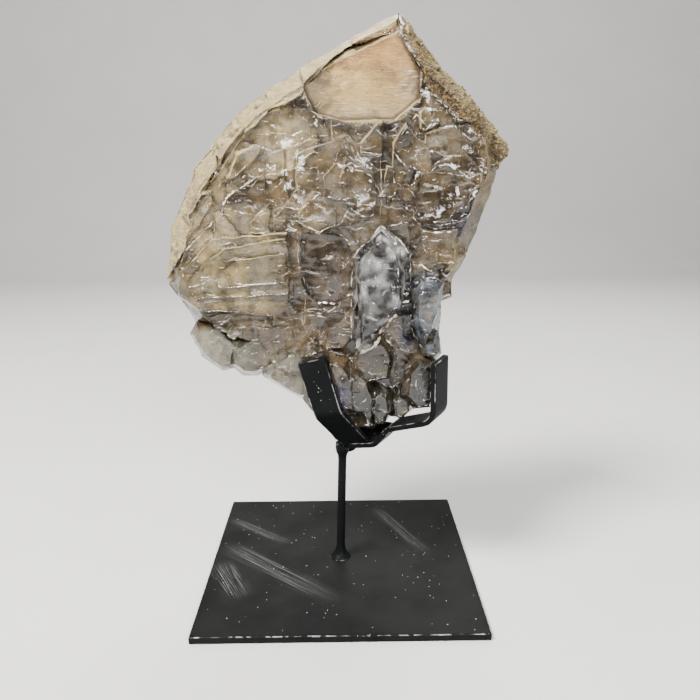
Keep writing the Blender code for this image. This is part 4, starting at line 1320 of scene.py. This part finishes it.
class QuartzSettings(bpy.types.PropertyGroup):
    seed: bpy.props.IntProperty(
        name="Seed", description="Picks where small ledges and veils lie", default=5, min=0
    )
    facet_mm: bpy.props.FloatProperty(
        name="Facet size", description="Longest edge of the stone's skin, mm", default=1.7, min=0.8
    )
    far_facet_mm: bpy.props.FloatProperty(
        name="Far facet size", description="The same for the sides and back, mm", default=4.5, min=1.0
    )
    ior: bpy.props.FloatProperty(
        name="Refraction index", description="Quartz bends light by this much", default=1.544
    )
    clearness: bpy.props.FloatProperty(
        name="Clearness", description="Share of light that enters the stone",
        default=0.7, min=0.0, max=1.0, subtype="FACTOR"
    )
    smoke_colour: bpy.props.FloatVectorProperty(
        name="Smoke", description="Colour that the inside lets through",
        default=(0.72, 0.57, 0.36), subtype="COLOR"
    )
    smoke_density: bpy.props.FloatProperty(
        name="Smoke density", description="Absorption per metre", default=120.0
    )
    veil_colour: bpy.props.FloatVectorProperty(
        name="Veils", description="Milky clouds", default=(0.52, 0.44, 0.315), subtype="COLOR"
    )
    # colour of the etch lines, also used for the painted glints and ridge highlights
    etch_and_glint_colour: bpy.props.FloatVectorProperty(
        name="Etch lines", description="Bright winding lines", default=(0.82, 0.74, 0.58), subtype="COLOR"
    )
    rim_colour: bpy.props.FloatVectorProperty(
        name="Frosted rim", description="Cream etched faces", default=(0.235, 0.19, 0.08), subtype="COLOR"
    )


class StandSettings(bpy.types.PropertyGroup):
    paint_colour: bpy.props.FloatVectorProperty(
        name="Paint", description="Black powder coat", default=(0.004, 0.0045, 0.0045), subtype="COLOR"
    )
    edge_round_mm: bpy.props.FloatProperty(
        name="Edge rounding", description="Radius of the bars' softened edges, mm", default=0.35
    )
    dust: bpy.props.FloatProperty(
        name="Dust", description="Strength of the pale specks",
        default=0.8, min=0.0, max=1.0, subtype="FACTOR"
    )


class StageSettings(bpy.types.PropertyGroup):
    floor_colour: bpy.props.FloatVectorProperty(
        name="Floor", description="Pale studio floor", default=(0.58, 0.575, 0.56), subtype="COLOR"
    )
    key_power: bpy.props.FloatProperty(
        name="Key light", description="Soft light from the upper left", default=72.0, unit="POWER"
    )
    fill_power: bpy.props.FloatProperty(
        name="Fill light", description="Soft light from the front", default=26.0, unit="POWER"
    )
    back_power: bpy.props.FloatProperty(
        name="Back light", description="Soft light from behind and above", default=16.0, unit="POWER"
    )
    lens: bpy.props.FloatProperty(name="Lens", description="Focal length, mm", default=36.16)
    camera_place: bpy.props.FloatVectorProperty(
        name="Camera place", description="Where the camera stands, in the CAD's frame",
        default=(0.00265, -0.37792, 0.22347), subtype="TRANSLATION", unit="LENGTH"
    )
    camera_tilt: bpy.props.FloatProperty(name="Camera tilt", description="Degrees down", default=13.81)
    camera_yaw: bpy.props.FloatProperty(name="Camera yaw", description="Degrees to the right", default=0.58)
    camera_roll: bpy.props.FloatProperty(name="Camera roll", description="Degrees", default=-0.40)


class QUARTZ_OT_skin(bpy.types.Operator):
    """Dress the stone: diced skin, growth steps, clear and frosted quartz"""

    bl_idname = "quartz.skin"
    bl_label = "Stone skin"

    def execute(self, context):
        growth_relief_group()
        build_skin(context.scene.quartz_settings)
        return {"FINISHED"}


class QUARTZ_OT_growths(bpy.types.Operator):
    """Add bright ledges and crust on the skin and veils inside it"""

    bl_idname = "quartz.growths"
    bl_label = "Ledges, crust and veils"

    def execute(self, context):
        settings = context.scene.quartz_settings
        skin = bpy.data.objects["quartz_skin"]
        build_ledges(skin, settings)
        build_crust(skin)
        build_veils(skin, settings)
        return {"FINISHED"}


class QUARTZ_OT_stand(bpy.types.Operator):
    """Dress the stand: softened bars in worn powder coat"""

    bl_idname = "quartz.stand"
    bl_label = "Stand"

    def execute(self, context):
        settings = context.scene.stand_settings
        scuff_group()
        finish = powder_coat(settings)
        for name in STAND_NODES:
            build_stand_piece(name, settings, finish)
        build_beads(finish)
        build_dust()
        return {"FINISHED"}


class QUARTZ_OT_stage(bpy.types.Operator):
    """Set the pale floor, the soft lights and the camera"""

    bl_idname = "quartz.stage"
    bl_label = "Stage"

    def execute(self, context):
        settings = context.scene.stage_settings
        build_floor(settings)
        for name, *look in LIGHTS:
            add_light(name, getattr(settings, name + "_power"), *look)
        world = bpy.data.worlds.new("studio")
        world.use_nodes = True
        sky = world.node_tree.nodes["Background"].inputs
        sky[0].default_value = (*SKY_TONE, 1.0)
        sky[1].default_value = SKY_STRENGTH
        context.scene.world = world
        build_camera(settings)
        return {"FINISHED"}


class QUARTZ_PT_panel(bpy.types.Panel):
    """Lists the pieces that can be built"""

    bl_label = "Quartz"
    bl_space_type = "VIEW_3D"
    bl_region_type = "UI"
    bl_category = "Quartz"

    def draw(self, context):
        for operator in OPERATORS:
            self.layout.operator(operator.bl_idname)


OPERATORS = (QUARTZ_OT_skin, QUARTZ_OT_growths, QUARTZ_OT_stand, QUARTZ_OT_stage)
CLASSES = (QuartzSettings, StandSettings, StageSettings) + OPERATORS + (QUARTZ_PT_panel,)


def register():
    for item in CLASSES:
        bpy.utils.register_class(item)
    bpy.types.Scene.quartz_settings = bpy.props.PointerProperty(type=QuartzSettings)
    bpy.types.Scene.stand_settings = bpy.props.PointerProperty(type=StandSettings)
    bpy.types.Scene.stage_settings = bpy.props.PointerProperty(type=StageSettings)


def unregister():
    for name in ("quartz_settings", "stand_settings", "stage_settings"):
        delattr(bpy.types.Scene, name)
    for item in reversed(CLASSES):
        bpy.utils.unregister_class(item)


def main():
    register()
    bpy.ops.quartz.skin()
    bpy.ops.quartz.growths()
    bpy.ops.quartz.stand()
    bpy.ops.quartz.stage()


if __name__ == "__main__":
    main()
